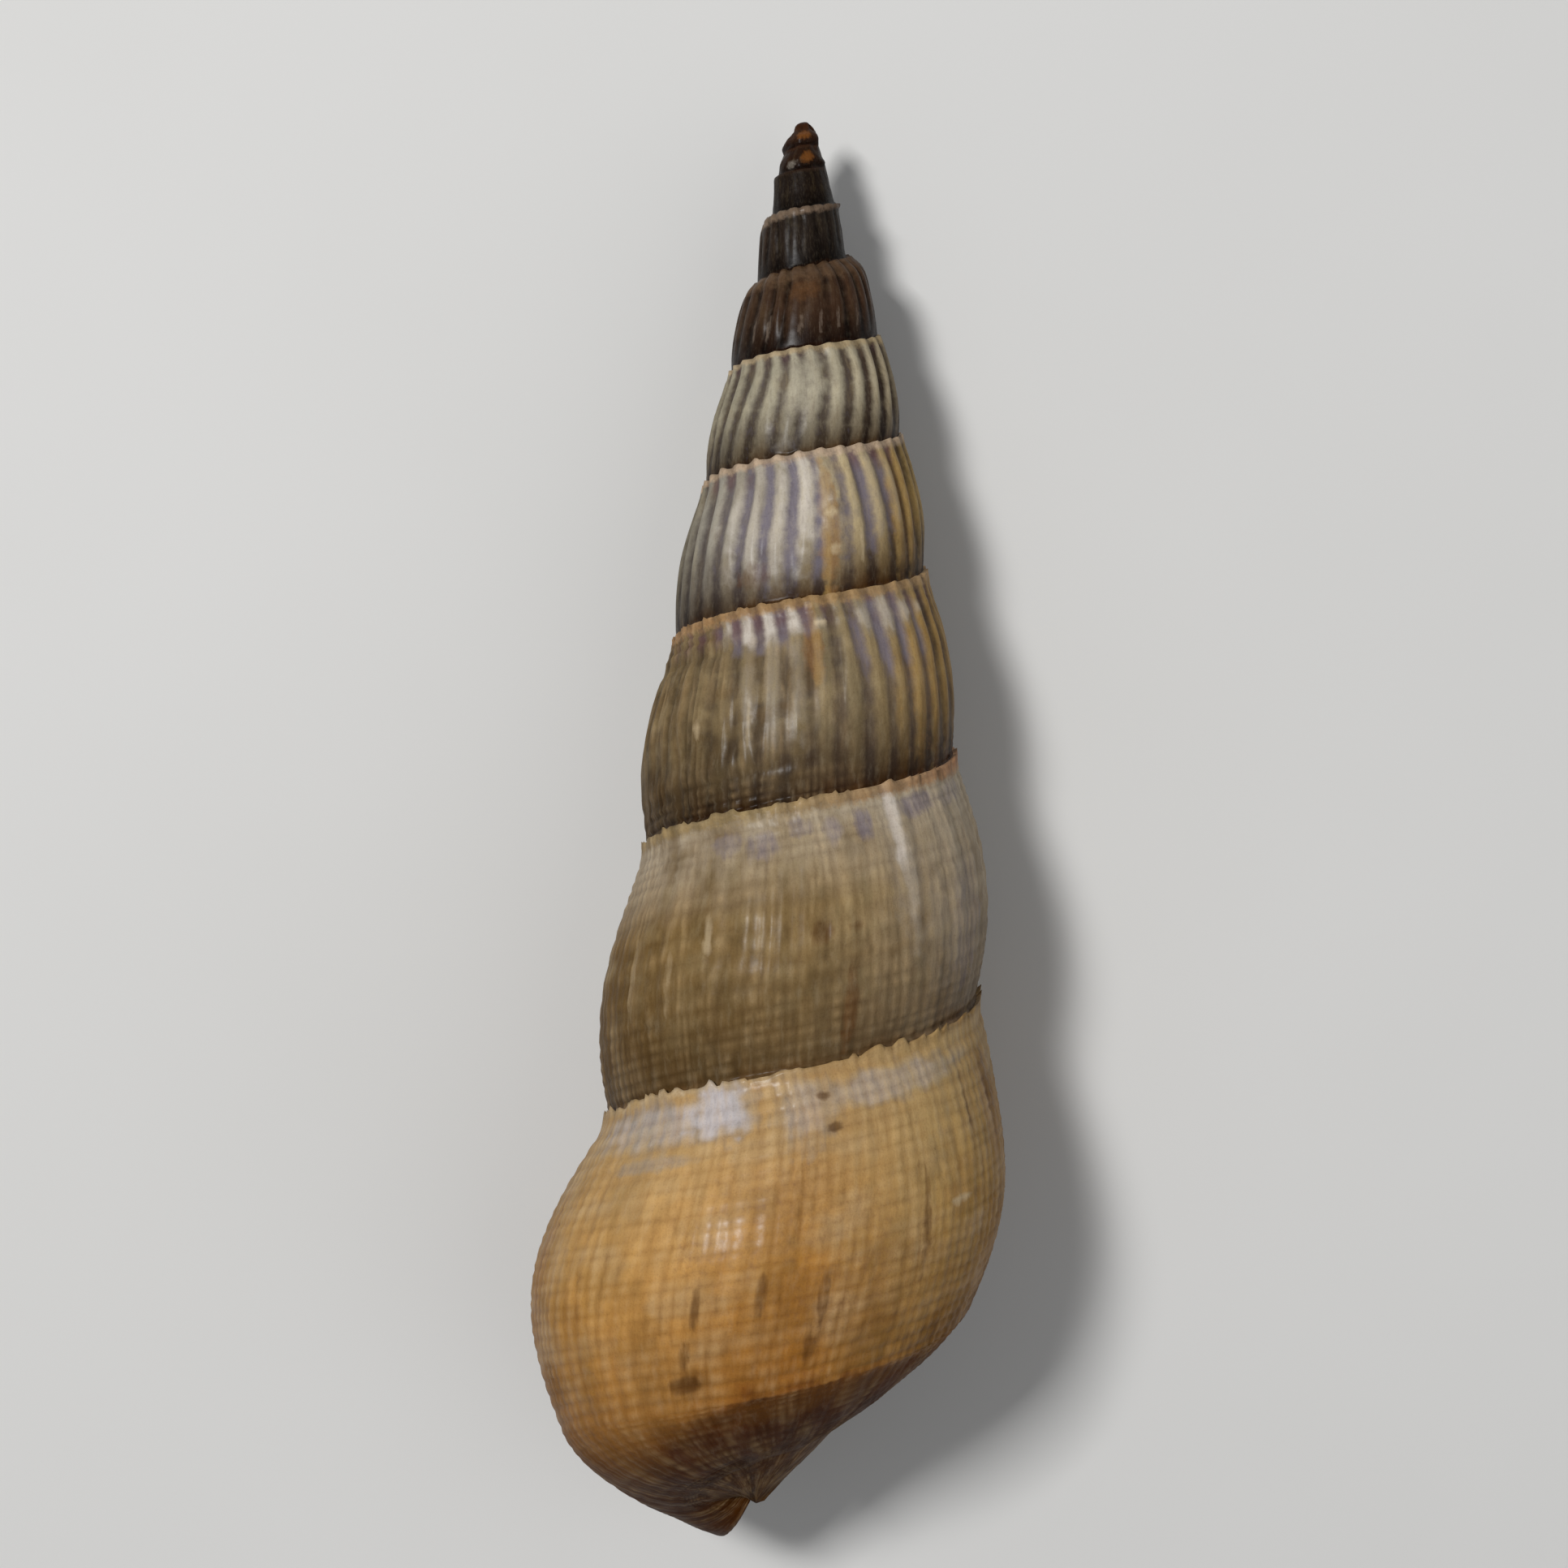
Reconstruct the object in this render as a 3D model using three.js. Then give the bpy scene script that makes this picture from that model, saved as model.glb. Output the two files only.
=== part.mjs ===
// Shell of the river snail Pachymelania fusca: a tall right-handed spire of ten turns with upright
// ribs on the middle turns, a ledge under every suture and a wide last turn with an oval aperture.
// Millimetres, +Z up. The empty shell lies on its side with the aperture down and the apex to +Y.
//
// The surface is one strip wound round the axis. Every place on it has a turn t, counted from the
// apex, and a place v across the strip: 0 at the suture above, 1 at the suture below, 2 where the
// base of the last turn meets the pillar, 3 at the pillar's tip. Heights are drops below the apex.
import * as THREE from "three";

// One value for each whole turn, from turn -1 at the apex to turn 10, which is past the lip.
const FIRST_TURN = -1;
const SUTURE_DROP = [0, 0.6, 1.3, 2.5, 4.17, 6.64, 9.79, 14.06, 19.87, 27.63, 37.14, 46.46];
const SUTURE_RADIUS = [0.21, 0.57, 0.78, 1.07, 1.25, 2.16, 2.89, 3.72, 4.71, 5.55, 6.25, 7.71];
const SIDE_SHIFT = [0, -0.03, -0.05, 0, 0.13, 0.21, 0.18, 0.13, 0.08, 0, -0.73, -0.78];
const LEDGE = [0, 0, 0.03, 0.05, 0.52, 0.13, 0.1, 0.1, 0.12, 0.13, 0.13, 0.13];
const BULGE = [0.13, 0.08, 0, 0, 0.08, 0.21, 0.29, 0.39, 0.7, 0.99, 2.4, 2.4];
const BULGE_PLACE = [1.1, 1.1, 1.1, 1.1, 1.1, 1.1, 1.1, 1.12, 1.12, 1.25, 0.73, 0.7];
const FOOT_DROP = [0.91, 1.82, 3.15, 5.21, 7.89, 11.41, 16.15, 22.4, 30.73, 40.78, 45.78, 52.1];
const BASE_ROUND = [0.15, 0.15, 0.15, 0.15, 0.15, 0.15, 0.15, 0.15, 0.15, 0.02, 0.5, 0.5];
const BASE_DIP = [0, 0, 0, 0, 0, 0, 0, 0, 0, 0.02, 0.56, 0.5];
const GROOVE_DEPTH = [0, 0, 0.03, 0.08, 0.15, 0.21, 0.22, 0.21, 0.16, 0.06, 0.03, 0.03];
const RIBS_A_TURN = [16, 16, 16, 18, 20, 22, 25, 29, 32, 26, 24, 24];

const LIP_TURN = 8.65; // the aperture's edge, where growth stopped
const LIP_SWING = 0.06; // the lip's middle stands this part of a turn further forward
const COIL_LEAN = 2.7; // degrees that the coil's turns lean down to the right
const GROOVE_LEAD = 0.07; // how deep a groove already is at the suture above
const GROOVE_SKEW = 0.8; // puts the deepest place above the middle of the whorl
const LEDGE_WIDTH = 0.03; // share of the strip over which the ledge rises
const BASE_REACH = 0.3; // handle of the base curve at the pillar, as a share of the suture radius

// The pillar that the base of the last turn runs down to. Beside the aperture the base flows down
// into it, and further round it meets the pillar from the side.
const PILLAR_SHARE = 0.19; // its radius, as a share of the suture radius
const PILLAR_TAPER_TURN = 8.1; // the pillar gets thinner from here to the lip
const FLOW_TURN = 8; // the base flows down into the pillar before this turn
const FLOW_TURNS = 0.35;
const FLOW_RISE = 0.2; // shares of the suture radius
const FLOW_REACH = 0.12;
const TIP_RADIUS = 0.32;
const TIP_SIDE = -1.52; // the tip bends this far to the side
const TIP_CAP = 0.12;
const APEX_CAP = 0.08;

// The hollow inside, which opens at the lip.
const WALL_MOST = 0.5;
const WALL_SHARE = 0.13; // the wall of the small turns, as a share of the suture radius
const LIP_WALL = 0.3;
const LIP_THINS_TURN = 8.3;
const CALLUS_SHARE = 0.02; // smooth layer on the inner side, as a share of the suture radius
const CALLUS_TURNS = 0.15; // length over which the callus grows from the lip inwards
const HOLLOW_START_TURN = 3.8;
const HOLLOW_COLUMNS = 16; // steps a turn
const WALL_JOIN = 0.13; // place of the corner between the hollow and the whorl above

// How finely the surface is cut into flat faces.
const SMOOTH_COLUMNS = 16; // steps a turn on the apex
const RIB_START_TURN = 1.5;
const FLANK_PLACES = [0.05, 0.17, 0.34, 0.52, 0.7, 0.87];
const APEX_PLACES = [0.3, 0.65];
const BASE_PLACES = [WALL_JOIN, 0.3, 0.48, 0.66, 0.84, 1].map((v) => 1 + v);
const PILLAR_PLACES = [0.35, 0.7, 1].map((v) => 2 + v);
const WALL_PLACES = [0.16, 0.38, 0.62, 0.85, 1.03, 1.25, 1.5, 1.75, 1.9];

// The pose on the floor: the turns that put the lip, the last turn and the spire down together.
const LIE_PITCH = -6.455; // degrees about the floor's X, apex down
const LIE_ROLL = 4.551; // degrees about the axis

const clamp01 = (x) => Math.min(1, Math.max(0, x));
const mix = (a, b, x) => a + (b - a) * x;
const radians = (degrees) => (degrees * Math.PI) / 180;

// A smooth curve through a table's values (Catmull-Rom), read at turn t.
function along(table, t) {
  const last = table.length - 1;
  const place = Math.min(Math.max(t - FIRST_TURN, 0), last - 1e-9);
  const i = Math.floor(place);
  const f = place - i;
  const a = table[Math.max(i - 1, 0)];
  const b = table[i];
  const c = table[Math.min(i + 1, last)];
  const d = table[Math.min(i + 2, last)];
  const leave = (c - a) / 2;
  const arrive = (d - b) / 2;
  const cubic = 2 * b - 2 * c + leave + arrive;
  const square = -3 * b + 3 * c - 2 * leave - arrive;
  return cubic * f ** 3 + square * f ** 2 + leave * f + b;
}

const lipShare = (t) => clamp01((t - PILLAR_TAPER_TURN) / (LIP_TURN - PILLAR_TAPER_TURN));
const pillarRadius = (t) => mix(PILLAR_SHARE * along(SUTURE_RADIUS, t), TIP_RADIUS, lipShare(t));
const TIP_DROP = along(FOOT_DROP, LIP_TURN);

// The smooth profile at turn t and place v: its radius, its drop and its shift to the side.
function profile(t, v) {
  const radiusAbove = along(SUTURE_RADIUS, t);
  const radiusBelow = along(SUTURE_RADIUS, t + 1);
  const dropAbove = along(SUTURE_DROP, t);
  const dropBelow = along(SUTURE_DROP, t + 1);
  const bulge = along(BULGE, t);
  const ledge = along(LEDGE, t);
  const skew = along(BULGE_PLACE, t);
  const across = clamp01(v);
  const shift = mix(along(SIDE_SHIFT, t), along(SIDE_SHIFT, t + 1), across);
  if (v <= 1) {
    const swell = bulge * Math.sin(Math.PI * across ** skew);
    const step = ledge * (1 - Math.exp(-across / LEDGE_WIDTH)) * (1 - across);
    const chord = mix(radiusAbove, radiusBelow, across);
    return { radius: chord + swell + step, drop: mix(dropAbove, dropBelow, across), shift };
  }
  // The base is a cubic curve that leaves the suture in the flank's own direction.
  const foot = along(FOOT_DROP, t);
  const pillar = pillarRadius(t);
  const outward = radiusBelow - radiusAbove - ledge - bulge * Math.PI * skew;
  const downward = dropBelow - dropAbove;
  const reach = (along(BASE_ROUND, t) * radiusBelow) / Math.hypot(outward, downward);
  const near = [radiusBelow + outward * reach, dropBelow + downward * reach];
  const flow = clamp01((FLOW_TURN - t) / FLOW_TURNS);
  const dip = mix(along(BASE_DIP, t), -FLOW_RISE, flow) * radiusBelow;
  const far = [pillar + mix(BASE_REACH, FLOW_REACH, flow) * radiusBelow, foot + dip];
  const x = clamp01(v - 1);
  const weights = [(1 - x) ** 3, 3 * (1 - x) ** 2 * x, 3 * (1 - x) * x ** 2, x ** 3];
  const down = clamp01(v - 2);
  const sum = (a, b, c, d) => weights[0] * a + weights[1] * b + weights[2] * c + weights[3] * d;
  return {
    radius: mix(sum(radiusBelow, near[0], far[0], pillar), TIP_RADIUS, down),
    drop: mix(sum(dropBelow, near[1], far[1], foot), TIP_DROP, down),
    shift: mix(shift, TIP_SIDE, mix(lipShare(t) * x ** 2, 1, down)),
  };
}

// The turn that a place of the last columns really stands at, with the lip's middle forward.
function swung(t, v) {
  return t + LIP_SWING * lipShare(t) ** 2 * Math.sin((Math.PI * clamp01(v / 2))) ** 2;
}

// A point of the half plane at turn t, placed in space: x to the right, y to the apex.
function place(t, { radius, drop, shift }) {
  const angle = 2 * Math.PI * t;
  const side = radius * Math.cos(angle);
  const y = -drop - side * Math.tan(radians(COIL_LEAN));
  return new THREE.Vector3(shift + side, y, radius * Math.sin(angle));
}

// The ribs are what stands between pressed-in grooves, which fade out at the suture below. The
// crest of each rib lies on an even column.
function outside(t, v, crest) {
  const turn = swung(t, v);
  const point = profile(turn, v);
  const fade = Math.sin(Math.PI * clamp01(v + GROOVE_LEAD) ** GROOVE_SKEW);
  point.radius -= crest ? 0 : along(GROOVE_DEPTH, t) * fade;
  return place(turn, point);
}

// The profile moved into the hollow by a distance, at a right angle to the profile itself.
function inset(t, v, distance) {
  const step = 0.01;
  const before = profile(t, v - step);
  const after = profile(t, v + step);
  const point = profile(t, v);
  const run = after.radius - before.radius;
  const fall = after.drop - before.drop;
  const size = Math.hypot(run, fall);
  point.radius -= (fall / size) * distance;
  point.drop += (run / size) * distance;
  return point;
}

const points = [];
const faces = [];

function addPoint(vector) {
  points.push(vector.x, vector.y, vector.z);
  return points.length / 3 - 1;
}

function addFace(a, b, c) {
  if (a !== b && b !== c && c !== a) {
    faces.push(a, b, c);
  }
}

const spot = (i) => new THREE.Vector3().fromArray(points, 3 * i);

// Joins two rows of points that run side by side, always by the shorter cross edge.
function joinRows(left, right) {
  let i = 0;
  let j = 0;
  while (i < left.length - 1 || j < right.length - 1) {
    const stepLeft = i < left.length - 1 ? spot(left[i + 1]).distanceTo(spot(right[j])) : Infinity;
    const stepRight = j < right.length - 1 ? spot(left[i]).distanceTo(spot(right[j + 1])) : Infinity;
    if (stepLeft <= stepRight) {
      addFace(left[i], right[j], left[i + 1]);
      i += 1;
    } else {
      addFace(left[i], right[j], right[j + 1]);
      j += 1;
    }
  }
}

// Joins two rows with the same number of points by even squares.
function joinEven(left, right) {
  for (let i = 0; i < left.length - 1; i += 1) {
    addFace(left[i], right[i], left[i + 1]);
    addFace(left[i + 1], right[i], right[i + 1]);
  }
}

// The turns at which the columns of the outside stand, one at every rib crest and every groove.
// Two columns stand on the lip's own angle, at the lip and one whole turn before it.
function columnTurns() {
  const found = [];
  const cuts = [LIP_TURN - 1, LIP_TURN];
  let t = FIRST_TURN;
  while (t < LIP_TURN - 1e-9) {
    found.push(t);
    const steps = t < RIB_START_TURN ? SMOOTH_COLUMNS : 2 * along(RIBS_A_TURN, t);
    const next = t + 1 / steps;
    const cut = cuts.find((c) => c > t + 1e-9 && c < next + 0.4 / steps);
    t = cut ?? next;
  }
  found.push(LIP_TURN);
  return found;
}

const turns = columnTurns();
const last = turns.length - 1;
const open = turns.indexOf(LIP_TURN - 1);
const roundStart = turns.indexOf(FIRST_TURN + 1);

// The whorls. Each column runs from its suture point to just above the suture below it.
const sutures = turns.map((t, i) => addPoint(outside(t, 0, i % 2 === 0)));
const flanks = turns.map((t, i) => {
  const places = t < RIB_START_TURN ? APEX_PLACES : FLANK_PLACES;
  return [sutures[i], ...places.map((v) => addPoint(outside(t, v, i % 2 === 0)))];
});

// The base of the last turn and the pillar, from the lower edge of the flank to the tip.
const lowers = turns.map((t, i) => {
  if (i < open) {
    return [];
  }
  const top = i === open ? sutures[last] : addPoint(outside(t, 1, true));
  return [top, ...[...BASE_PLACES, ...PILLAR_PLACES].map((v) => addPoint(outside(t, v, true)))];
});
const tipOfLip = lowers[open].at(-1);
lowers[last] = lowers[last].map((p, j) => (j >= BASE_PLACES.length ? tipOfLip : p));

for (let i = 0; i < last; i += 1) {
  joinRows(flanks[i], flanks[i + 1]);
  if (i >= open) {
    joinEven(lowers[i], lowers[i + 1]);
    joinEven([flanks[i].at(-1), lowers[i][0]], [flanks[i + 1].at(-1), lowers[i + 1][0]]);
  }
}
joinRows(
  sutures.slice(roundStart),
  flanks.slice(0, open + 1).map((column) => column.at(-1)),
);

// The apex is closed by a low cap, the pillar's tip by a blunt one.
const apexRing = [...sutures.slice(0, roundStart + 1), ...flanks[0].slice(1).reverse(), sutures[0]];
const apexTop = addPoint(new THREE.Vector3(0, APEX_CAP, 0));
apexRing.slice(1).forEach((p, i) => addFace(apexTop, p, apexRing[i]));
const tipRing = lowers.slice(open).map((column) => column.at(-1));
const tipEnd = addPoint(place(0, { radius: 0, drop: TIP_DROP + TIP_CAP, shift: TIP_SIDE }));
tipRing.slice(1).forEach((p, i) => addFace(tipEnd, tipRing[i], p));

// A ring round the hollow at turn t: down the outer wall, up the pillar, and out along the base of
// the turn before. At the lip its inner side is the outside of the turn before.
function hollowRing(t) {
  const atLip = t === LIP_TURN;
  const inward = Math.min(WALL_MOST, WALL_SHARE * along(SUTURE_RADIUS, t));
  const wall = mix(inward, LIP_WALL, clamp01((t - LIP_THINS_TURN) / (LIP_TURN - LIP_THINS_TURN)));
  const outer = WALL_PLACES.map((v) => addPoint(place(swung(t, v), inset(swung(t, v), v, wall))));
  if (atLip) {
    return [...outer, ...lowers[open].slice(1, -1).reverse()];
  }
  const callus = CALLUS_SHARE * along(SUTURE_RADIUS, t) * clamp01((LIP_TURN - t) / CALLUS_TURNS);
  const above = profile(t - 1, 2);
  const below = profile(t, 2);
  const pillar = PILLAR_PLACES.slice(0, -1).reverse().map((v) => {
    const down = v - 2;
    const point = {
      radius: mix(above.radius, below.radius, down),
      drop: mix(above.drop, below.drop - wall, down),
      shift: mix(above.shift, below.shift, down),
    };
    return addPoint(place(t, point));
  });
  const inner = [...BASE_PLACES].reverse();
  return [...outer, ...pillar, ...inner.map((v) => addPoint(place(t, inset(t - 1, v, -callus))))];
}

const ringCount = Math.ceil((LIP_TURN - HOLLOW_START_TURN) * HOLLOW_COLUMNS) + 1;
const rings = Array.from({ length: ringCount }, (_, i) => hollowRing(LIP_TURN - i / HOLLOW_COLUMNS));
rings.slice(1).forEach((ring, i) => {
  joinEven([...rings[i], rings[i][0]], [...ring, ring[0]]);
});
const deepest = rings.at(-1);
const middle = new THREE.Vector3();
deepest.forEach((p) => middle.addScaledVector(spot(p), 1 / deepest.length));
const innermost = addPoint(middle);
deepest.forEach((p, i) => addFace(innermost, deepest[(i + 1) % deepest.length], p));

// The lip: a narrow band between the outside and the hollow, pointed at the suture and at the tip.
joinRows(
  [...flanks[last], ...lowers[last].slice(0, BASE_PLACES.length + 1)],
  [...lowers[open].slice(0, 2), ...rings[0].slice(0, WALL_PLACES.length), ...lowers[open].slice(-2)],
);

const geometry = new THREE.BufferGeometry();
geometry.setAttribute("position", new THREE.Float32BufferAttribute(points, 3));
geometry.setIndex(faces);
geometry.rotateY(radians(LIE_ROLL));
geometry.rotateX(radians(LIE_PITCH));
geometry.computeBoundingBox();
const { min, max } = geometry.boundingBox;
geometry.translate(-(min.x + max.x) / 2, -(min.y + max.y) / 2, -min.z);
geometry.computeVertexNormals();

const material = new THREE.MeshStandardMaterial({ color: 0x9a7b50, roughness: 0.4, metalness: 0 });
const shell = new THREE.Mesh(geometry, material);
shell.name = "shell";

const group = new THREE.Group();
group.name = "pachymelania_fusca_shell";
group.add(shell);
export default group;
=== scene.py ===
"""Visual model of an empty river snail shell that lies on its side, seen from above.

The shell's skin is one strip wound round its axis. Every place on it has a turn, counted from the
apex, and a place across the strip: 0 at the suture above, 1 at the suture below, 2 where the base
of the last turn meets the pillar and 3 at the pillar's tip. Shapes are worked out in millimetres
in the shell's own frame, x to the right, y to the apex, z up, and then laid on the floor.
"""

import math

import bpy
import numpy as np
from mathutils import Matrix, Vector


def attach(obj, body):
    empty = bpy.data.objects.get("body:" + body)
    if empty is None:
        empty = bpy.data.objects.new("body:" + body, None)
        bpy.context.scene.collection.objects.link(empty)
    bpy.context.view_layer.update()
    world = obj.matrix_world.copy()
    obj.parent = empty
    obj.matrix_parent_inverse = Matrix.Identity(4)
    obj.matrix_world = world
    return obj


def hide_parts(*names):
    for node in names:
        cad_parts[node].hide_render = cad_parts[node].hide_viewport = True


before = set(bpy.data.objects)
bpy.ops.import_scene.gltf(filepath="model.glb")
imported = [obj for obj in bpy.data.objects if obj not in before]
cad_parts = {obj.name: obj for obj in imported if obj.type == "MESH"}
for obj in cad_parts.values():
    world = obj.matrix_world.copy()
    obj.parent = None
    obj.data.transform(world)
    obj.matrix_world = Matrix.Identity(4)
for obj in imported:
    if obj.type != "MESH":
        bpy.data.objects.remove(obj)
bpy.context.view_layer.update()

MM = 0.001
TINY = 1e-9

# The shell's measures, one value a whole turn from turn -1 to turn 10.
FIRST_TURN = -1
LIP_TURN = 8.65
SUTURE_DROP = (0, 0.6, 1.3, 2.5, 4.17, 6.64, 9.79, 14.06, 19.87, 27.63, 37.14, 46.46)
SUTURE_RADIUS = (0.21, 0.57, 0.78, 1.07, 1.25, 2.16, 2.89, 3.72, 4.71, 5.55, 6.25, 7.71)
SIDE_SHIFT = (0, -0.03, -0.05, 0, 0.13, 0.21, 0.18, 0.13, 0.08, 0, -0.73, -0.78)
LEDGE = (0, 0, 0.03, 0.05, 0.52, 0.13, 0.1, 0.1, 0.12, 0.13, 0.13, 0.13)
LEDGE_WIDTH = (0.03, 0.03, 0.03, 0.04, 0.1, 0.05, 0.03, 0.03, 0.03, 0.03, 0.03, 0.03)
BULGE = (0.13, 0.08, 0, 0, 0.08, 0.21, 0.29, 0.39, 0.7, 0.99, 2.4, 2.4)
BULGE_PLACE = (1.1, 1.1, 1.1, 1.1, 1.1, 1.1, 1.1, 1.12, 1.12, 1.25, 0.73, 0.7)
FOOT_DROP = (0.91, 1.82, 3.15, 5.21, 7.89, 11.41, 16.15, 22.4, 30.73, 40.78, 45.78, 52.1)
BASE_ROUND = (0.15, 0.15, 0.15, 0.15, 0.15, 0.15, 0.15, 0.15, 0.15, 0.02, 0.5, 0.5)
BASE_DIP = (0, 0, 0, 0, 0, 0, 0, 0, 0, 0.02, 0.56, 0.5)
GROOVE_DEPTH = (0, 0, 0.02, 0.06, 0.13, 0.2, 0.22, 0.2, 0.13, 0.035, 0.02, 0.02)
GROOVE_WIDTH = (1, 1, 1, 3.2, 2.6, 0.8, 0.9, 1.1, 1.4, 2, 2, 2)
THREAD_DEPTH = (0, 0, 0, 0, 0.005, 0.01, 0.015, 0.035, 0.04, 0.04, 0.035, 0.03)
RIM_HEIGHT = (0, 0, 0.01, 0.05, 0.09, 0.09, 0.11, 0.14, 0.18, 0.24, 0.24, 0.24)
RIM_WIDTH = (0.1, 0.1, 0.1, 0.08, 0.24, 0.08, 0.06, 0.055, 0.055, 0.024, 0.022, 0.022)
GROWTH_LEAN = (0, 0, 0, 0, 0.008, 0.026, 0, 0, 0.004, 0.006, 0.006, 0.006)
UNEVEN = (0.03, 0.05, 0.04, 0.03, 0.03, 0.03, 0.04, 0.05, 0.07, 0.09, 0.1, 0.1)

# How many ribs lie between turn 4.188 and each whole turn from -1 to 10.
RIB_COUNT = (-96, -80, -64, -46.3, -26.8, -4.5, 20.8, 51.1, 86.9, 119, 147, 172)

# The lip, the base, the pillar, the wall and the filled fold, in turns, millimetres, degrees for the
# lean, or shares of a radius.
LIP_SWING = 0.06
COIL_LEAN = 2.7
GROOVE_LEAD = 0.07
GROOVE_SKEW = 0.8
BASE_REACH = 0.3
PILLAR_SHARE = 0.19
PILLAR_TAPER_TURN = 8.1
FLOW_TURN = 8
FLOW_TURNS = 0.35
FLOW_RISE = 0.2
FLOW_REACH = 0.12
TIP_RADIUS = 0.32
TIP_SIDE = -1.52
TIP_CAP = 0.12
APEX_CAP = 0.08
WALL_MOST = 0.5
WALL_SHARE = 0.13
LIP_WALL = 0.3
LIP_THINS_TURN = 8.3
CALLUS_SHARE = 0.02
CALLUS_TURNS = 0.15
HOLLOW_START_TURN = 3.8
FILL_FROM = 1.5
FILL_LATER = 0.25
FILL_SHIFTS = (8.25, 8.55)
FILL_SHARE = 0.88
FILL_LEAD = 0.25
FILL_TAIL = 0.35
FILL_TURNS = ((7.7, 8.2), (8.62, 8.5))
PROFILE_STEP = 0.01

# How the shell lies: it is turned about its own axis, pitched onto the apex and set down.
LIE_ROLL = 4.551
LIE_PITCH = -6.455
LIE_PLACE = (1.1512, 23.1163, 3.091)

# The camera in the shell's own frame.
CAMERA_PLACE = (-0.625, -21.172, 118.75)
LENS = 84.97
SENSOR = 36

# The surface.


def share(x):
    """x held between 0 and 1."""
    return np.clip(x, 0, 1)


def mix(a, b, x):
    """The value x of the way from a to b."""
    return a + (b - a) * x


def smooth_step(x):
    """3 x^2 - 2 x^3, which leaves 0 and reaches 1 without a kink."""
    return x * x * (3 - 2 * x)


def bezier(points, x):
    """A cubic Bezier curve: it leaves its first point towards the second and reaches the last from
    the third."""
    weights = ((1 - x) ** 3, 3 * (1 - x) ** 2 * x, 3 * (1 - x) * x**2, x**3)
    return sum(a * b for a, b in zip(weights, points))


def along(table, turn):
    """A smooth curve through the table's values, Catmull-Rom: the cubic that passes each whole turn
    at half the difference of its two neighbours."""
    table = np.asarray(table, float)
    last = len(table) - 1
    place = np.clip(turn - FIRST_TURN, 0, last - TINY)
    i = place.astype(int)
    f = place - i
    a, b = table[np.maximum(i - 1, 0)], table[i]
    c, d = table[np.minimum(i + 1, last)], table[np.minimum(i + 2, last)]
    leave, arrive = (c - a) / 2, (d - b) / 2
    cubic = 2 * b - 2 * c + leave + arrive
    square = 3 * c - 3 * b - 2 * leave - arrive
    return ((cubic * f + square) * f + leave) * f + b


def lip_share(turn):
    """0 before the pillar's taper, rising evenly to 1 at the lip."""
    return share((turn - PILLAR_TAPER_TURN) / (LIP_TURN - PILLAR_TAPER_TURN))


TIP_DROP = float(along(FOOT_DROP, np.array(LIP_TURN)))


def profile(turn, across):
    """Radius, drop and side shift of the smooth skin.

    Down to the suture below, the radius is the straight line between the two sutures, plus a
    swelling bulge * sin(pi * across ** place), plus a ledge that rises by 1 - exp(-across / width).
    The base is a cubic Bezier curve from the suture to the pillar's foot, which leaves the suture
    in the flank's direction, and the pillar is a straight line from there to its tip."""
    above, below = along(SUTURE_RADIUS, turn), along(SUTURE_RADIUS, turn + 1)
    high, low = along(SUTURE_DROP, turn), along(SUTURE_DROP, turn + 1)
    bulge, ledge = along(BULGE, turn), along(LEDGE, turn)
    skew = along(BULGE_PLACE, turn)
    w, x, y = share(across), share(across - 1), share(across - 2)
    shift = mix(along(SIDE_SHIFT, turn), along(SIDE_SHIFT, turn + 1), w)
    rise = (1 - np.exp(-w / along(LEDGE_WIDTH, turn))) * (1 - w)
    flank = mix(above, below, w) + bulge * np.sin(np.pi * w**skew) + ledge * rise

    foot = along(FOOT_DROP, turn)
    pillar = mix(PILLAR_SHARE * above, TIP_RADIUS, lip_share(turn))
    outward = below - above - ledge - bulge * np.pi * skew
    downward = low - high
    reach = along(BASE_ROUND, turn) * below / np.hypot(outward, downward)
    flow = share((FLOW_TURN - turn) / FLOW_TURNS)
    dip = mix(along(BASE_DIP, turn), -FLOW_RISE, flow) * below
    handle = pillar + mix(BASE_REACH, FLOW_REACH, flow) * below
    base_radius = bezier((below, below + outward * reach, handle, pillar), x)
    base_drop = bezier((low, low + downward * reach, foot + dip, foot), x)
    bend = mix(lip_share(turn) * x**2, 1, y)
    on_base = across > 1
    return (
        np.where(on_base, mix(base_radius, TIP_RADIUS, y), flank),
        np.where(on_base, mix(base_drop, TIP_DROP, y), mix(high, low, w)),
        np.where(on_base, mix(shift, TIP_SIDE, bend), shift),
    )


def placed(turn, radius, drop, shift):
    """The point at that turn's angle, with the coil's turns leaning down to the right."""
    angle = 2 * np.pi * turn
    side = radius * np.cos(angle)
    y = -drop - side * math.tan(math.radians(COIL_LEAN))
    return np.stack([shift + side, y, radius * np.sin(angle)], -1)


def swung(turn, across):
    """The turn with the lip's middle swung forward, by sin(pi * across / 2) squared."""
    return turn + LIP_SWING * lip_share(turn) ** 2 * np.sin(np.pi * share(across / 2)) ** 2


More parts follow.
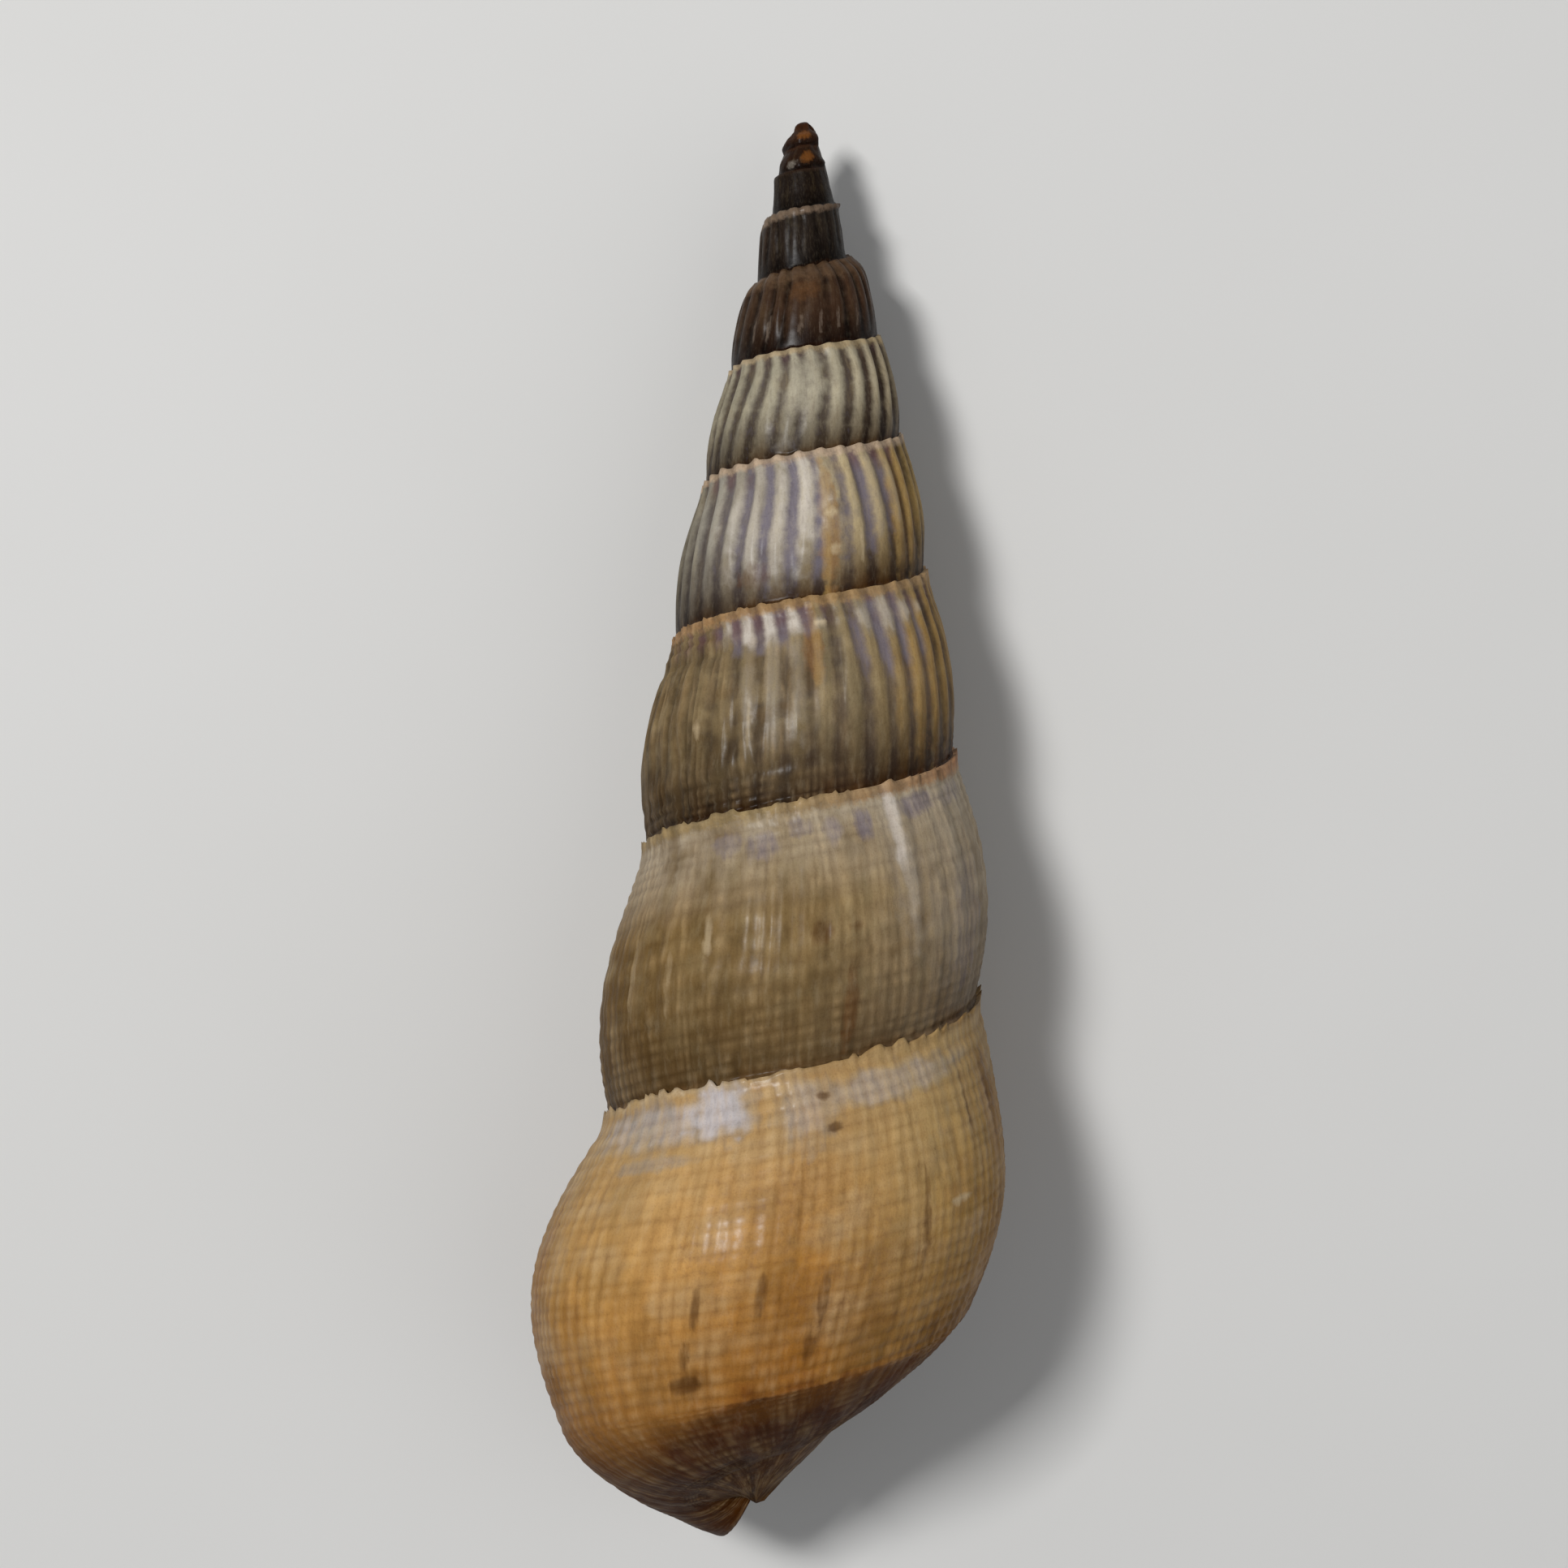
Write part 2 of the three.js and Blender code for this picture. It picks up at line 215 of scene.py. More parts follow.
def filled(turn, across):
    """The profile with the fold between base and pillar filled in front of the pillar. From half
    way down the base, and from further down towards the lip, it goes most of the way to a cubic
    Bezier curve, which leaves the base in the base's own direction and comes to the pillar's tip
    along the straight line from where it left."""
    later_share = share((turn - FILL_SHIFTS[0]) / np.ptp(FILL_SHIFTS))
    leaves = FILL_FROM + FILL_LATER * later_share + 0 * across
    start, later = profile(turn, leaves), profile(turn, leaves + PROFILE_STEP)
    tip = (TIP_RADIUS, TIP_DROP, TIP_SIDE)
    size = np.hypot(tip[0] - start[0], tip[1] - start[1])
    step = np.hypot(later[0] - start[0], later[1] - start[1])
    leave = [a + (b - a) * FILL_LEAD * size / step for a, b in zip(start, later)]
    come = [mix(b, a, FILL_TAIL) for a, b in zip(start, tip)]
    w = share((across - leaves) / (3 - leaves))
    curve = [bezier(places, w) for places in zip(start, leave, come, tip)]
    rising, falling = (share((turn - a) / (b - a)) for a, b in FILL_TURNS)
    amount = FILL_SHARE * smooth_step(rising) * smooth_step(falling) * (across > leaves)
    return [mix(now, goal, amount) for now, goal in zip(profile(turn, across), curve)]


def skin(turn, across):
    """The smooth skin in space."""
    turn, across = np.broadcast_arrays(np.asarray(turn, float), np.asarray(across, float))
    real = swung(turn, across)
    return placed(real, *filled(real, across))


LATTICE = 256
RAGGED = 0.3


def wander(x, y, seed):
    """Smooth noise from -1 to 1: random heights on a square lattice, blended between the lattice
    points by the smooth step 3 f^2 - 2 f^3."""
    heights = np.random.default_rng(seed).uniform(-1, 1, (LATTICE, LATTICE))
    x, y = np.broadcast_arrays(np.asarray(x, float), np.asarray(y, float))
    i, j = np.floor(x).astype(int), np.floor(y).astype(int)
    f, g = x - i, y - j
    f, g = smooth_step(f), smooth_step(g)
    i, j = i % LATTICE, j % LATTICE
    k, m = (i + 1) % LATTICE, (j + 1) % LATTICE
    return mix(mix(heights[i, j], heights[k, j], f), mix(heights[i, m], heights[k, m], f), g)


# The sculpture. A growth line hooks forward under the suture by a part of a turn. The rim's teeth
# and the colours' streaks have a slightly smaller hook.
HOOK = 0.018
RIM_HOOK = 0.016
HOOK_REACH = 0.14
FLANK_THREADS = 22
BASE_THREADS = 17
GROWTH_LINES = 96
SCULPTED_TURN = 5.6
FAINT_TURN = 6.36
FAINT_REACH = 0.14
RING_TURN = 2.25
KNOBS_END = 1.6
LIP_ROLL_TURNS = 0.012

# Depths and heights in millimetres.
PIT_DEPTH = 0.05
CRUST_HEIGHT = 0.06
KNOB_HEIGHT = 0.07
RING_HEIGHT = 0.1
LIP_ROLL = 0.07


def grown(turn, across):
    """The turn that the growth line through a place has where it leaves the suture's hook: it hooks
    forward there by a part of a turn that fades as exp(-across / reach), and on some turns it leans
    forward below by lean * across ** 2."""
    lean = along(GROWTH_LEAN, np.asarray(turn, float)) * share(across) ** 2
    return turn - HOOK * np.exp(-across / HOOK_REACH) - lean


def rib_phase(turn, across):
    """Counts the ribs: a whole number on every crest, with a little wandering, more on the first
    turns."""
    line = grown(turn, across)
    uneven = 0.16 + 0.12 * share((5.2 - line) / 0.5)
    return along(RIB_COUNT, line) + uneven * wander(line * 17, across * 1.5, 11)


def rib_crest(phase):
    """1 on a crest and 0 in the middle of a groove, a cosine between them."""
    return 0.5 + 0.5 * np.cos(2 * np.pi * phase)


def thread_phase(turn, across):
    """Counts the spiral threads down the flank and on the base."""
    flank = FLANK_THREADS * share(across)
    base = BASE_THREADS * share(across - 1)
    return flank + base + 0.35 * wander(turn * 12, across * 4, 12)


def growth_phase(turn, across):
    """Counts the fine upright lines of the last turns, unevenly spaced."""
    line = grown(turn, across)
    uneven = 1.3 * wander(line * 31, across * 0.8, 13) + 0.2 * wander(line * 60, across * 6, 14)
    return GROWTH_LINES * line + uneven


def cell_tint(turn, across):
    """A random number from 0 to 1 for each cell between two threads and two growth lines."""
    numbers = np.random.default_rng(41).uniform(0, 1, (LATTICE, LATTICE))
    i = np.floor(growth_phase(turn, across) + 0.5).astype(int) % LATTICE
    j = np.floor(thread_phase(turn, across) + 0.5).astype(int) % LATTICE
    return numbers[i, j]


def blot(turn, across, marks, seed):
    """A mask from 0 to 1 with one soft-edged spot a mark. A mark is its turn, its place across, its
    half size along and across, and its strength. The spot fades with the distance from its middle,
    in half sizes, and noise on that distance makes its edge ragged."""
    line = grown(turn, across)
    found = np.zeros(np.broadcast(turn, across).shape)
    push = wander(line * 60, across * 14, seed) + wander(line * 150, across * 40, seed + 1)
    push = RAGGED * (push + (cell_tint(turn, across) - 0.5) * share(np.asarray(turn) - SCULPTED_TURN))
    for mark_turn, mark_across, half_turn, half_across, strength in marks:
        mark_line = grown(mark_turn, mark_across)
        far = ((line - mark_line) / half_turn) ** 2 + ((across - mark_across) / half_across) ** 2
        inside = share(1.5 - np.sqrt(far) + push * 0.6)
        found = np.maximum(found, strength * smooth_step(inside))
    return found


# Marks of the small pits, the raised crusts and the places where the ribs are worn smooth.
PITS = (
    (7.235, 0.5, 0.006, 0.05, 1), (7.205, 0.5, 0.004, 0.03, 0.8), (7.2, 0.8, 0.004, 0.02, 0.7),
    (8.305, 0.92, 0.011, 0.035, 1), (8.22, 0.19, 0.007, 0.018, 0.8), (8.225, 0.09, 0.006, 0.015, 0.7),
    (6.33, 0.66, 0.006, 0.05, 0.6), (6.31, 0.62, 0.004, 0.04, 0.6), (5.31, 0.66, 0.01, 0.04, 0.6),
    (8.26, 1.06, 0.01, 0.05, 0.7), (8.285, 1.2, 0.008, 0.04, 0.6),
)
CRUSTS = ((5.22, 0.44, 0.012, 0.05, 1), (8.118, 0.52, 0.014, 0.02, 0.8), (6.232, 0.14, 0.007, 0.018, 0.9))
SMOOTHED = (
    (4.25, 0.36, 0.03, 0.28, 0.85), (4.288, 0.6, 0.014, 0.3, 0.5), (3.25, 0.6, 0.05, 0.5, 0.55),
    (2.27, 0.6, 0.04, 0.5, 0.5), (5.215, 0.5, 0.02, 0.6, 0.7), (7.3, 0.5, 0.3, 2, 0.5),
)


def hill(x, middle, reach, power=2):
    """1 in the middle, fading to both sides by exp(-((x - middle) / reach) ** power)."""
    return np.exp(-(((x - middle) / reach) ** power))


def rim(turn, across):
    """How much of the ragged rim is at a place: a hill whose middle is the suture above."""
    return hill(across, 0, along(RIM_WIDTH, turn)) * (across < 0.5)


def faint(turn):
    """1 on the short stretch where the ribs are faint and the threads stand out."""
    return hill(turn, FAINT_TURN, FAINT_REACH, 4)


def teeth(turn):
    """Uneven teeth along the rim, from 0 to 1: one a rib on the spire, small and random lower down."""
    ribs = rib_crest(along(RIB_COUNT, turn - RIM_HOOK))
    rough = share(0.35 + 0.9 * wander(turn * 62, 0, 21))
    fine = share(0.3 + 0.9 * wander(turn * 140, 0, 22))
    sharp = share(1.8 * wander(turn * 176, 0, 23) - 0.5)
    low = share(turn - 5.5)
    return share(mix(0.55 * ribs + 0.2 * rough, 0.45 * rough + 0.75 * sharp, low) + 0.4 * fine)


def relief(turn, across):
    """How far the sculpture lies outside the smooth skin, in millimetres. Most is cut into it: the
    grooves between the ribs, the spiral threads crossed by growth lines on the last turns, pits, a
    general unevenness, the apex's knobs and the lip's rolled edge. Crusts, rims and a ring rise."""
    phase = rib_phase(turn, across)
    fade = np.sin(np.pi * share(share(across) + GROOVE_LEAD) ** GROOVE_SKEW) * (across < 1)
    each = 0.8 + 0.35 * wander(np.floor(phase) * 5.3, 0, 31)
    each = each * (1 - 0.55 * faint(turn))
    groove = (1 - rib_crest(phase)) ** along(GROOVE_WIDTH, turn)
    smoothed = 1 - blot(turn, across, SMOOTHED, 32)
    height = -along(GROOVE_DEPTH, turn) * fade * each * groove * smoothed

    fine = share((turn - SCULPTED_TURN) / 0.7) * share((across + 0.02) / 0.1)
    fine = fine * (1 + 1.6 * faint(turn))
    spiral = 1 - rib_crest(thread_phase(turn, across))
    strip = (1 - rib_crest(growth_phase(turn, across))) * (1 - share(across - 1.1))
    height = height - along(THREAD_DEPTH, turn) * fine * (spiral**1.8 * 0.9 + strip**1.8 * 0.8)

    height = height - PIT_DEPTH * blot(turn, across, PITS, 33)
    height = height + CRUST_HEIGHT * blot(turn, across, CRUSTS, 35)
    broad = wander(turn * 11, across * 2.3, 36) * 0.5 + wander(turn * 31, across * 6, 37) * 0.3
    height = height + along(UNEVEN, turn) * (broad - 0.8) * share(across / 0.05)

    apex = share(KNOBS_END - turn)
    knobs = wander(turn * 15, across * 2.2, 38) * apex
    height = height + KNOB_HEIGHT * (knobs - 1) * apex

    bead = along(RIM_HEIGHT, turn) * rim(turn, across) * share(across / 0.006)
    height = height + bead * (0.25 + 0.55 * teeth(turn))
    ring = hill(turn, RING_TURN, 0.42, 4) * hill(across, 0.035, 0.04)
    height = height + RING_HEIGHT * ring * share(across / 0.02)
    rolled = share((turn - LIP_TURN + LIP_ROLL_TURNS) / LIP_ROLL_TURNS) ** 2
    return height - LIP_ROLL * rolled * (across < 2)


def lift(turn, across):
    """How far the rim's teeth climb over the suture, in millimetres."""
    climb = hill(across, 0, 0.02) * share(across / 0.005) * (across < 0.5)
    return along(RIM_HEIGHT, turn) * climb * teeth(turn)


def sculpted(turn, across):
    """The skin with its relief: each point moves by the relief along the smooth skin's own normal,
    the cross product of its two tangents, and up by the teeth's climb."""
    turn, across = np.broadcast_arrays(np.asarray(turn, float), np.asarray(across, float))
    step = 1e-4
    forward = skin(turn + step, across) - skin(turn - step, across)
    upper = np.where(across < 1, np.maximum(across - step, 0), across - step)
    downward = skin(turn, across + step) - skin(turn, upper)
    normal = np.cross(forward, downward)
    normal /= np.maximum(np.linalg.norm(normal, axis=-1, keepdims=True), 1e-12)
    point = skin(turn, across) + normal * relief(turn, across)[..., None]
    point[..., 1] += lift(turn, across)
    return point


# The mesh.


# The two finishes' slots.
OUTSIDE, INSIDE = 0, 1


class Weave:
    """Collects points and triangles, with each corner's turn and place across."""

    def __init__(self):
        self.points, self.count = [], 0
        self.faces, self.corners, self.finish = [], [], []

    def add(self, points):
        """Adds points and returns their numbers in the same arrangement."""
        points = np.asarray(points, float)
        shape = points.shape[:-1]
        self.points.append(points.reshape(-1, 3))
        numbers = self.count + np.arange(int(np.prod(shape)))
        self.count += len(numbers)
        return numbers.reshape(shape)

    def triangles(self, faces, corners, finish):
        """Adds triangles, leaving out those with two corners on one point."""
        faces, corners = faces.reshape(-1, 3), corners.reshape(-1, 3, 2)
        a, b, c = faces.T
        kept = (a != b) & (b != c) & (c != a)
        self.faces.append(faces[kept])
        self.corners.append(corners[kept])
        self.finish.append(np.full(int(kept.sum()), finish))

    def net(self, numbers, places, finish=OUTSIDE):
        """Two triangles for each square of a grid whose columns run across and rows along."""
        for order in (((0, 0), (1, 0), (0, 1)), ((0, 1), (1, 0), (1, 1))):
            rows = [slice(i, numbers.shape[0] - 1 + i) for i, _ in order]
            cols = [slice(j, numbers.shape[1] - 1 + j) for _, j in order]
            faces = np.stack([numbers[r, c] for r, c in zip(rows, cols)], -1)
            corners = np.stack([places[r, c] for r, c in zip(rows, cols)], -2)
            self.triangles(faces, corners, finish)

    def lace(self, left, right, left_at, right_at, left_places, right_places, finish=OUTSIDE):
        """Joins two rows of points with different spacing. Each edge of one row makes a triangle
        with the point that the other row has reached there, so the two are merged by how far along
        their points lie: left_at and right_at rise from one end to the other."""
        left_at, right_at = np.asarray(left_at, float), np.asarray(right_at, float)
        i, j = np.arange(len(left) - 1), np.arange(len(right) - 1)
        left_mid = (left_at[:-1] + left_at[1:]) / 2
        right_mid = (right_at[:-1] + right_at[1:]) / 2
        met = np.searchsorted(right_mid, left_mid, side="left")
        passed = np.searchsorted(left_mid, right_mid, side="right")
        first = np.stack([left[i], right[met], left[i + 1]], -1)
        second = np.stack([left[passed], right[j], right[j + 1]], -1)
        first_places = np.stack([left_places[i], right_places[met], left_places[i + 1]], -2)
        second_places = np.stack([left_places[passed], right_places[j], right_places[j + 1]], -2)
        self.triangles(first, first_places, finish)
        self.triangles(second, second_places, finish)


def eased(count, ease):
    """Places from 0 to 1, closer together near both ends: w - ease * sin(2 pi w) / (2 pi)."""
    w = np.arange(count + 1) / count
    return w - ease * np.sin(2 * np.pi * w) / (2 * np.pi)


def pairs(turn, across):
    """Turn and place across as one array of pairs."""
    turn, across = np.broadcast_arrays(np.asarray(turn, float), np.asarray(across, float))
    return np.stack([turn, across], -1)


# Start and end turn, columns a turn, rows between two sutures and how much closer they lie near those.
BANDS = (
    (-1, 1.65, 60, 10, 0.3),
    (1.65, 2.65, 120, 17, 0.6),
    (2.65, 4.65, 190, 22, 0.55),
    (4.65, 6.65, 262, 32, 0.55),
    (6.65, 7.65, 320, 46, 0.5),
    (7.65, 8.65, 360, 78, 0.45),
)
BASE_ROWS = 34
PILLAR_ROWS = 8
CAP_SLOPES = (0.35, 0.7, 1.05, 1.35)


def weave_whorls(weave):
    """The outer surface. Returns every column's turn and top point, and the last band's grid with
    its places across."""
    turns, tops, edges, floors = [], [], [], []
    before = None
    for start, end, columns, rows, ease in BANDS:
        last_band = end == LIP_TURN
        steps = round((end - start) * columns)
        turn = np.linspace(start, end, steps + 1)
        turn = turn if last_band else turn[:-1]
        flank = eased(rows, ease)[:-1]
        across = flank
        if last_band:
            base = 1 + eased(BASE_ROWS, 0.15)
            pillar = 2 + np.arange(1, PILLAR_ROWS + 1) / PILLAR_ROWS
            across = np.concatenate([flank, base, pillar])
        numbers = weave.add(sculpted(turn[:, None], across[None, :]))
        if last_band:
            numbers[0, rows] = numbers[-1, 0]
            numbers[-1, rows + BASE_ROWS:] = numbers[0, -1]
        places = pairs(turn[:, None], across[None, :])
        weave.net(numbers, places)
        if before is not None:
            weave.lace(before[0], numbers[0, :rows], before[1], flank, before[2], places[0, :rows])
        before = (numbers[-1], across, places[-1])
        turns.append(turn)
        tops.append(numbers[:, 0])
        edges.append(numbers[:, rows - 1])
        floors.append(np.full(len(turn), flank[-1]))
    turns, tops = np.concatenate(turns), np.concatenate(tops)
    edges, floors = np.concatenate(edges), np.concatenate(floors)
    upper, lower = turns <= LIP_TURN - 1 + TINY, turns >= FIRST_TURN + 1 - TINY
    weave.lace(
        tops[lower], edges[upper], turns[lower] - 1, turns[upper],
        pairs(turns[lower] - 1, 1), pairs(turns[upper], floors[upper]),
    )
    return turns, tops, numbers, across


def weave_ends(weave, turns, tops, first_column, last_grid):
    """The rounded cap of the apex and the blunt end of the pillar."""
    first_turn = tops[turns <= FIRST_TURN + 1 + TINY]
    ring = np.concatenate([first_turn, first_column[:0:-1], tops[:1]])
    every = np.concatenate(weave.points)
    centre = every[ring[:-1]].mean(0) * (1, 0, 1)
    rings = [ring]
    for slope in CAP_SLOPES:
        inward = math.cos(slope)
        points = centre + (every[ring[:-1]] - centre) * (inward, 1 - 0.9 * math.sin(slope), inward)
        points[:, 1] += APEX_CAP * math.sin(slope)
        made = weave.add(points)
        rings.append(np.append(made, made[:1]))
    top = weave.add([centre + (0, APEX_CAP, 0)])[0]
    rings.append(np.full(len(ring), top))
    around = np.linspace(0, 1, len(ring)) + FIRST_TURN
    weave.net(np.stack(rings, 1)[::-1], pairs(around[::-1, None], np.zeros((1, len(rings)))))

    low = last_grid[:, -1]
    end = weave.add([[TIP_SIDE, -(TIP_DROP + TIP_CAP), 0]])
    around = np.linspace(LIP_TURN - 1, LIP_TURN, len(low))
    weave.net(np.stack([low, np.full(len(low), end[0])], 1), pairs(around[:, None], [[3, 3]]))


def inset(turn, across, distance):
    """The smooth profile moved into the hollow by a distance, at a right angle to itself."""
    before, after = profile(turn, across - PROFILE_STEP), profile(turn, across + PROFILE_STEP)
    radius, drop, shift = profile(turn, across)
    run, fall = after[0] - before[0], after[1] - before[1]
    size = np.maximum(np.hypot(run, fall), TINY)
    return radius - fall / size * distance, drop + run / size * distance, shift


# Where across the hollow's rings have points: down the outer wall, up the pillar and out along the
# base. For merging rows, a ring runs from 0 to 1 on the wall, and then on to its end.
WALL_PLACES = np.linspace(0.14, 1.92, 27)
HOLLOW_PILLAR = np.array([2.75, 2.5, 2.25])
HOLLOW_BASE = np.linspace(2, 1.13, 14)
HOLLOW_COLUMNS = 32
PILLAR_AT = 1.02
RING_END = 2.2


def weave_hollow(weave, last_grid, across, rows):
    """The hollow: rings down the outer wall, up the pillar and out along the base of the turn
    before, from the lip inwards. The lip is the narrow band between the outside and the hollow."""
    count = math.ceil((LIP_TURN - HOLLOW_START_TURN) * HOLLOW_COLUMNS) + 1
    turn = (LIP_TURN - np.arange(count) / HOLLOW_COLUMNS)[:, None]
    inward = np.minimum(WALL_MOST, WALL_SHARE * along(SUTURE_RADIUS, turn))
    wall = mix(inward, LIP_WALL, share((turn - LIP_THINS_TURN) / (LIP_TURN - LIP_THINS_TURN)))
    places = WALL_PLACES[None, :]
    real = swung(turn, places)
    outer = placed(real, *inset(real, places, wall))
    down = HOLLOW_PILLAR[None, :] - 2
    above, below = profile(turn - 1, 2), profile(turn, 2)
    pillar = placed(
        turn, mix(above[0], below[0], down), mix(above[1], below[1] - wall, down),
        mix(above[2], below[2], down),
    )
    callus = CALLUS_SHARE * along(SUTURE_RADIUS, turn) * share((LIP_TURN - turn) / CALLUS_TURNS)
    inner = placed(turn, *inset(turn - 1, HOLLOW_BASE[None, :], -callus))
    rings = weave.add(np.concatenate([outer, pillar, inner], 1)[1:])
    rings = np.concatenate([rings, rings[:, :1]], 1)
    wall_at = (WALL_PLACES - WALL_PLACES[0]) / np.ptp(WALL_PLACES)
    inner_side = PILLAR_AT + (3 - np.append(HOLLOW_PILLAR, HOLLOW_BASE)) / 2
    ring_at = np.concatenate([wall_at, inner_side, [RING_END]])
    ring_places = pairs(turn[1:], ring_at[None, :])
    weave.net(rings, ring_places, INSIDE)

    front = weave.add(outer[0])
    aperture = last_grid[0, rows + 1:-1][::-1]
    aperture_at = PILLAR_AT + (3 - across[rows + 1:-1][::-1]) / 2
    mouth = np.concatenate([front, aperture, front[:1]])
    mouth_at = np.concatenate([wall_at, aperture_at, [RING_END]])
    mouth_places = pairs(LIP_TURN, mouth_at)
    weave.lace(mouth, rings[0], mouth_at, ring_at, mouth_places, ring_places[0], INSIDE)

    middle = np.concatenate(weave.points)[rings[-1, :-1]].mean(0)
    deep = weave.add([middle])[0]
    weave.net(
        np.stack([rings[-1], np.full(rings.shape[1], deep)]),
        pairs(turn[-1:], np.stack([ring_at, ring_at])), INSIDE,
    )

    outer_edge = last_grid[-1, : rows + BASE_ROWS + 1]
    outer_at = across[: rows + BASE_ROWS + 1]
    inner_edge = np.concatenate([last_grid[0, rows:rows + 2], front, last_grid[0, -2:]])
    inner_at = np.concatenate([[0, 0.06], WALL_PLACES, [1.97, 2]])
    weave.lace(
        outer_edge, inner_edge, outer_at, inner_at,
        pairs(LIP_TURN, outer_at), pairs(LIP_TURN, inner_at), INSIDE,
    )


def lying(size):
    """The turn that lays the shell on its side, as a square matrix of that size."""
    pitch = Matrix.Rotation(math.radians(LIE_PITCH), size, "X")
    return pitch @ Matrix.Rotation(math.radians(LIE_ROLL), size, "Y")


def laid(points):
    """Points of the shell's own frame, in millimetres, where the shell lies, in metres."""
    return (points @ np.array(lying(3)).T + LIE_PLACE) * MM


def build_shell():
    """The shell's mesh, with its corners' places as a UV map and its sculpture as attributes."""
    weave = Weave()
    turns, tops, last_grid, across = weave_whorls(weave)
    rows = BANDS[-1][3]
    first_column = np.arange(BANDS[0][3])
    weave_ends(weave, turns, tops, first_column, last_grid)
    weave_hollow(weave, last_grid, across, rows)

    points = laid(np.concatenate(weave.points))
    faces = np.concatenate(weave.faces)
    used, faces = np.unique(faces, return_inverse=True)
    faces = faces.reshape(-1, 3)
    mesh = bpy.data.meshes.new("shell")
    mesh.vertices.add(len(used))
    mesh.vertices.foreach_set("co", points[used].astype(np.float32).ravel())
    mesh.loops.add(faces.size)
    mesh.loops.foreach_set("vertex_index", faces.astype(np.int32).ravel())
    mesh.polygons.add(len(faces))
    mesh.polygons.foreach_set("loop_start", np.arange(0, faces.size, 3, dtype=np.int32))
    mesh.polygons.foreach_set("material_index", np.concatenate(weave.finish).astype(np.int32))
    mesh.update(calc_edges=True)
    mesh.shade_smooth()
    corners = np.concatenate(weave.corners).reshape(-1, 2)
    mesh.uv_layers.new(name="coil").uv.foreach_set("vector", corners.astype(np.float32).ravel())
    stain_corners(mesh, corners)
    mesh.validate()
    piece = bpy.data.objects.new("snail_shell", mesh)
    bpy.context.scene.collection.objects.link(piece)
    return piece


# The colours' places: turn, place across, half size along and across, strength.
FROST_AND_SHEEN = (
    (0.33, 0.7, 0.05, 0.2, 0.6),
    (8.315, 0.08, 0.035, 0.1, 1), (8.37, 0.09, 0.07, 0.09, 0.8), (8.36, 0.21, 0.045, 0.03, 0.7),
    (8.17, 0.1, 0.1, 0.06, 0.72), (8.24, 0.12, 0.03, 0.12, 0.7), (8.24, 0.2, 0.02, 0.08, 0.5),
    # The three marks about turn 7.16 make a soft white streak down a growth line: a painted highlight. The
    # others are a pale whitish coat on the skin.
    (7.162, 0.14, 0.009, 0.24, 0.95), (7.152, 0.36, 0.009, 0.3, 0.7), (7.155, 0.28, 0.024, 0.35, 0.5),
    (6.3, 0.11, 0.07, 0.1, 1), (6.15, 0.13, 0.06, 0.12, 0.8), (6.28, 0.4, 0.05, 0.35, 0.6),
    (5.31, 0.42, 0.08, 0.5, 0.8), (5.26, 0.3, 0.04, 0.45, 0.9), (5.14, 0.35, 0.05, 0.35, 0.6),
    (4.26, 0.4, 0.06, 0.4, 0.5), (7.1, 0.5, 0.05, 0.35, 0.5),
)
SLATE = (
    (7.325, 0.12, 0.02, 0.05, 0.6), (7.29, 0.14, 0.02, 0.06, 0.65), (7.255, 0.1, 0.012, 0.04, 0.6),
    (7.225, 0.13, 0.01, 0.06, 0.7), (7.195, 0.12, 0.009, 0.07, 0.8), (7.13, 0.1, 0.025, 0.05, 0.85),
    (7.07, 0.1, 0.03, 0.05, 0.6), (6.3, 0.12, 0.07, 0.12, 0.9),
    (6.15, 0.2, 0.06, 0.25, 0.9), (5.27, 0.4, 0.1, 0.5, 0.8), (5.16, 0.35, 0.05, 0.4, 0.8),
    (4.3, 0.5, 0.2, 0.6, 0.3), (8.4, 0.06, 0.07, 0.04, 0.5), (7.08, 0.6, 0.03, 0.3, 0.5),
)
STAIN = (
    (3.26, 0.32, 0.04, 0.13, 0.7), (5.222, 0.55, 0.014, 0.45, 1), (7.05, 0.03, 0.05, 0.03, 0.8),
    (8.45, 0.5, 0.012, 0.25, 0.9), (6.245, 0.22, 0.012, 0.2, 0.9), (5.09, 0.5, 0.04, 0.5, 0.5),
    (6.1, 0.5, 0.05, 0.5, 0.4), (8.25, 0.45, 0.08, 0.2, 0.4), (8.2, 0.72, 0.1, 0.2, 0.45),
    (8.05, 0.3, 0.02, 0.2, 0.6), (-0.76, 0.4, 0.08, 0.3, 0.9), (0.21, 0.5, 0.05, 0.28, 0.9),
)
UMBER = (
    (8.302, 0.69, 0.0032, 0.07, 0.85), (8.262, 0.67, 0.0038, 0.09, 0.9), (8.222, 0.73, 0.0038, 0.13, 0.95),
    (8.227, 0.87, 0.005, 0.06, 0.8), (8.308, 0.82, 0.004, 0.05, 0.8), (8.243, 0.4, 0.005, 0.14, 0.5),
    (8.15, 0.56, 0.0034, 0.2, 0.8), (8.093, 0.25, 0.005, 0.1, 0.6), (8.05, 0.25, 0.008, 0.15, 0.7),
    (8.31, 0.92, 0.012, 0.03, 1), (8.22, 0.19, 0.007, 0.016, 1), (8.23, 0.09, 0.006, 0.014, 0.9),
    (7.235, 0.51, 0.01, 0.05, 0.8), (7.205, 0.5, 0.006, 0.03, 0.8), (7.21, 0.82, 0.006, 0.2, 0.9),
    (5.32, 0.8, 0.03, 0.1, 0.6), (8.22, 1.15, 0.09, 0.14, 0.9), (8.12, 0.98, 0.05, 0.08, 0.5),
)
